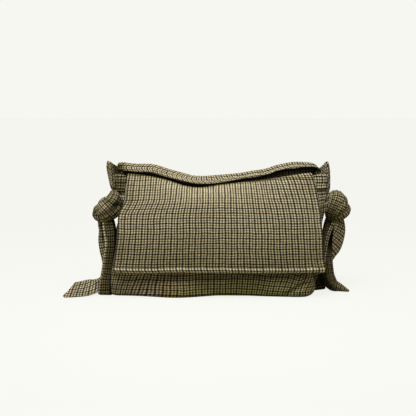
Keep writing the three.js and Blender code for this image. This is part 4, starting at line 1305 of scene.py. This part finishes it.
# Lining of the bag: one ring inside the walls, a squared-off oval at each height, from the floor of the bag
# to the mouth. Its top follows the front's rim and the back's, and is level at the sides.
def linerPoints():
    around = np.linspace(0, 2 * np.pi, liner["columns"], endpoint=False)[None, :]
    across = squared(np.cos(around), liner["squareness"][0])
    deep = squared(np.sin(around), liner["squareness"][1])
    topFront = mix(liner["sideTop"], frontTop(across * body["mouthHalfWidth"]), np.clip(-deep * 1.6, 0, 1))
    topBack = mix(liner["sideTop"], body["backTop"], np.clip(deep * 1.6, 0, 1))
    top = np.where(deep < 0, topFront, topBack) - liner["rimDrop"]
    z = liner["bottom"] + (top - liner["bottom"]) * np.linspace(0, 1, liner["rows"])[:, None]
    half = halfWidthAt(z + 10, np.sign(across)) - liner["gap"] - 3
    depth = np.where(deep < 0, frontDepth(z), backDepth(z)) - liner["gap"] - 2 - footTuck(z)
    slack = 0.8 * np.sin(z / 17 + 3 * around) * np.sin(np.pi * (z - liner["bottom"]) / 150)
    return np.stack([across * (half - slack) + leanAt(z), deep * (depth - slack), z], -1)


ringPoints = linerPoints()
ringRound = closed(ringPoints)
ringWeave = np.stack([runLength(ringRound, 1), ringRound[..., 2]], -1)
# its floor: the lowest ring drawn in to the middle
floorRing = ringPoints[:1] * np.linspace(1, 0.02, liner["floorRows"])[:, None, None]
floorRing[..., 0] += np.linspace(0, 1, liner["floorRows"])[:, None] * -body["lean"]
floorRing[..., 2] = liner["bottom"]
linerWalls = patch(ringPoints, ringWeave, ring=True)
linerFloor = patch(floorRing[::-1], closed(floorRing)[::-1, :, :2], ring=True)
linerPiece = makePiece("bag_lining", [linerWalls, linerFloor], lining, liner["thick"], outward=False)
linedNodes = ("front_lining", "back_lining", "left_lining", "right_lining", "base_lining")
settle(linerPiece, "bag", "lining", *linedNodes)
print("lining is made")


# Sewn edge of the flap and sewn ends of the strap on the back panel
sewn = {"top": 161.4, "thick": 1.6, "seamHalf": 120, "seamHeight": 14.0, "seamGrid": (160, 24),
        "tabInner": 122.5, "tabOuter": 137.5, "tabLength": 28.0, "tabGrid": (30, 40)}


# A strip of cloth on the back panel: the panel's depth at each height, raised where the strip is full
# between its borders, which are pressed flat by soft steps
def backStripPoints(x0, x1, height, columns, rows):
    across, upward = np.meshgrid(np.linspace(x1, x0, columns), np.linspace(0, 1, rows))
    z = sewn["top"] - height + upward * height
    full = rise(0, 0.16, upward) * rise(0, 0.1, 1 - upward * 0.9)
    edge = np.minimum(np.abs(across - x0), np.abs(across - x1))
    full = full * rise(0, 2.2, edge)
    # below its top it turns round the panel's side edge with it
    down = 1 - rise(0.55, 1, upward)
    radius = body["edgeTurn"]
    flat = halfWidthAt(z, np.sign(across)) - radius
    turn = down * np.clip((np.abs(across) - flat) / radius, 0, 1.4)
    x = np.where(turn > 0, np.sign(across) * (np.abs(across) + radius * (np.sin(turn) - turn)), across)
    bow = 2 * down * np.minimum(np.abs(across) / flat, 1) ** 2
    y = backDepth(z) - bow - radius * (1 - np.cos(turn)) + 0.7 + 1.9 * full + 0.25 * np.sin(across / 5)
    return np.stack([x, y, z], -1)


# makes one strip of such points, with its check straight up and across, and gives its points to the sewing
def backStrip(name, node, x0, x1, height, grid):
    points = backStripPoints(x0, x1, height, *grid)
    weave = np.stack([points[..., 0], points[..., 2]], -1)
    piece = makePiece(name, [patch(points, weave)], wool, sewn["thick"])
    settle(piece, "bag", "wool", node)
    return points


seamStrip = backStrip("flap_seam_band", "flap_seam_strip", -sewn["seamHalf"], sewn["seamHalf"],
                      sewn["seamHeight"], sewn["seamGrid"])
leftEnd = backStrip("left_strap_end", "left_strap_tab", -sewn["tabOuter"], -sewn["tabInner"],
                    sewn["tabLength"], sewn["tabGrid"])
rightEnd = backStrip("right_strap_end", "right_strap_tab", sewn["tabInner"], sewn["tabOuter"],
                     sewn["tabLength"], sewn["tabGrid"])
print("strips on the back are made")


# Sewing: rows of stitches along lines on the cloth
stitch = {"length": 3.0, "gap": 1.0, "radius": 0.3, "arch": 0.3, "steps": 6, "sides": 5,
          "flapRow": 8.3, "rimRow": -4}


# One row along a line: each stitch is a thin tube, closed at both ends, that arches off by a half sine
def stitchRow(line, outward):
    run = runLength(line, 0)
    count = int(run[-1] // (stitch["length"] + stitch["gap"]))
    part = np.linspace(0, 1, stitch["steps"])
    t = np.linspace(0, run[-1] - stitch["length"], count)[:, None] + part * stitch["length"]
    centre = through(run, line, t)
    way = unit(through(run, outward, t))
    along = unit(np.gradient(centre, axis=1))
    side = unit(np.cross(way, along))
    radius = (stitch["radius"] * np.sqrt(1 - (2 * part - 1) ** 4))[None, :, None, None]
    lift = (stitch["arch"] * np.sin(np.pi * part))[None, :, None, None]
    turn = np.linspace(0, 2 * np.pi, stitch["sides"], endpoint=False)[:, None]
    points = (centre[:, :, None] + way[:, :, None] * (lift + radius * np.sin(turn))
              + side[:, :, None] * radius * np.cos(turn))
    weave = np.zeros((stitch["steps"], stitch["sides"] + 1, 2))
    return [patch(one, weave, ring=True) for one in points]


# a line between two rows or columns of a grid, at a place counted in them
def gridLine(grid, place, axis):
    first = np.take(grid, int(place), axis=axis)
    return mix(first, np.take(grid, int(place) + 1, axis=axis), place - int(place))


# all the stitches of one piece, on its body
def sewnPiece(name, rows, bodyName):
    settle(makePiece(name, rows, thread), bodyName, "wool")


# along the flap's hem and up both its sides, then along the front's rim
hemPlace = np.interp(stitch["flapRow"], flapUp.mean(1), np.arange(flap["rows"]))
sideIn = flap["sideHem"] / flap["halfWidth"] / 2 * (flap["columns"] - 1)
sidePart = slice(int(hemPlace) + 1, int(0.66 * flap["rows"]))
hemStitches = stitchRow(gridLine(flapOuter, hemPlace, 0)[6:-6], gridLine(flapWay, hemPlace, 0)[6:-6])
for place in (sideIn, flap["columns"] - 1 - sideIn):
    hemStitches += stitchRow(gridLine(flapOuter, place, 1)[sidePart], gridLine(flapWay, place, 1)[sidePart])
sewnPiece("flap_stitches", hemStitches, "flap")
rimLine = (stitch["rimRow"], slice(8, -8))
sewnPiece("rim_stitches", stitchRow(front[rimLine], gridNormals(front)[rimLine]), "bag")


# Every row of a strip sewn to the back: straight lines between places counted in its rows and columns, at
# the depth of the strip there
def sewnLines(grid, lines):
    rows = []
    steps = 24
    for (r0, c0), (r1, c1) in lines:
        t = np.linspace(0, 1, steps)
        line = grid[np.rint(mix(r0, r1, t)).astype(int), np.rint(mix(c0, c1, t)).astype(int)]
        x = np.linspace(line[0, 0], line[-1, 0], steps)
        z = np.linspace(line[0, 2], line[-1, 2], steps)
        rows += stitchRow(np.stack([x, line[:, 1], z], -1), np.tile([0.0, 1.0, 0.0], (steps, 1)))
    return rows


seamLines = [((4, 3), (4, 156)), ((17, 3), (17, 156))]
boxLines = [((4, 6), (4, 23)), ((24, 6), (24, 23)), ((5, 5), (23, 5)), ((5, 24), (23, 24)),
            ((5, 6), (23, 23)), ((5, 23), (23, 6))]   # a box with a cross in it
backStitches = sewnLines(seamStrip, seamLines) + sewnLines(leftEnd, boxLines) + sewnLines(rightEnd, boxLines)
sewnPiece("back_stitches", backStitches, "bag")
print("stitches are sewn")


# Snap: a turned disc with a raised rim, a dished face and a stud or a socket. Profiles: radius and height.
snap = {
    "seatZ": 62.0, "thick": 2.0, "gap": 0.4, "clearance": 5.6, "sides": 64, "bevel": 0.00012,
    "stud": [[0, 2.1], [1.6, 2.1], [2.1, 1.9], [2.4, 1.5], [3.2, 1.5], [6.4, 1.55], [6.9, 1.9], [8.2, 2.0],
             [8.8, 1.7], [9.0, 1.0], [8.9, 0.2], [8.4, 0.0], [0, 0]],
    "socket": [[0, 1.0], [2.2, 1.0], [2.6, 1.6], [3.4, 1.75], [6.2, 1.75], [6.6, 2.0], [8.2, 2.0], [8.8, 1.7],
               [9.0, 1.0], [8.9, 0.2], [8.4, 0.0], [0, 0]],
}


# One half of the snap: its profile turned round a line that stands square on the front's slope
def snapPiece(name, node, bodyName, profile, lift, facingOut):
    seatZ = snap["seatZ"]
    slope = (frontDepth(np.array(seatZ + 1)) - frontDepth(np.array(seatZ - 1))) / 2
    way = unit(np.array([0, -1, -float(slope)]))
    sideways = np.array([1.0, 0, 0])
    upward = np.cross(way, sideways)
    seat = np.array([0, -float(frontDepth(np.array(seatZ))), seatZ])
    shape = np.array(profile, float)
    turn = np.linspace(0, 2 * np.pi, snap["sides"], endpoint=False)
    radius = shape[:, :1]
    height = shape[:, 1:]
    off = lift + (height if facingOut else snap["thick"] - height)
    points = (seat + way * (off + 0 * turn)[..., None] + sideways * (radius * np.cos(turn))[..., None]
              + upward * (radius * np.sin(turn))[..., None])
    weave = np.zeros((len(shape), snap["sides"] + 1, 2))
    piece = makePiece(name, [patch(points, weave, ring=True)], steel, outward=not facingOut)
    bevel = piece.modifiers.new("edge", "BEVEL")
    bevel.width = snap["bevel"]
    bevel.segments = 2
    bevel.limit_method = "ANGLE"
    settle(piece, bodyName, "snap", node)


snapPiece("front_snap", "front_magnet", "bag", snap["socket"], snap["gap"], True)
studLift = snap["clearance"] - snap["gap"] - snap["thick"]
snapPiece("flap_snap", "flap_magnet", "flap", snap["stud"], studLift, False)
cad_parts["base_board"].data.materials.clear()
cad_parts["base_board"].data.materials.append(boardFibre)
print("snap and board are made")
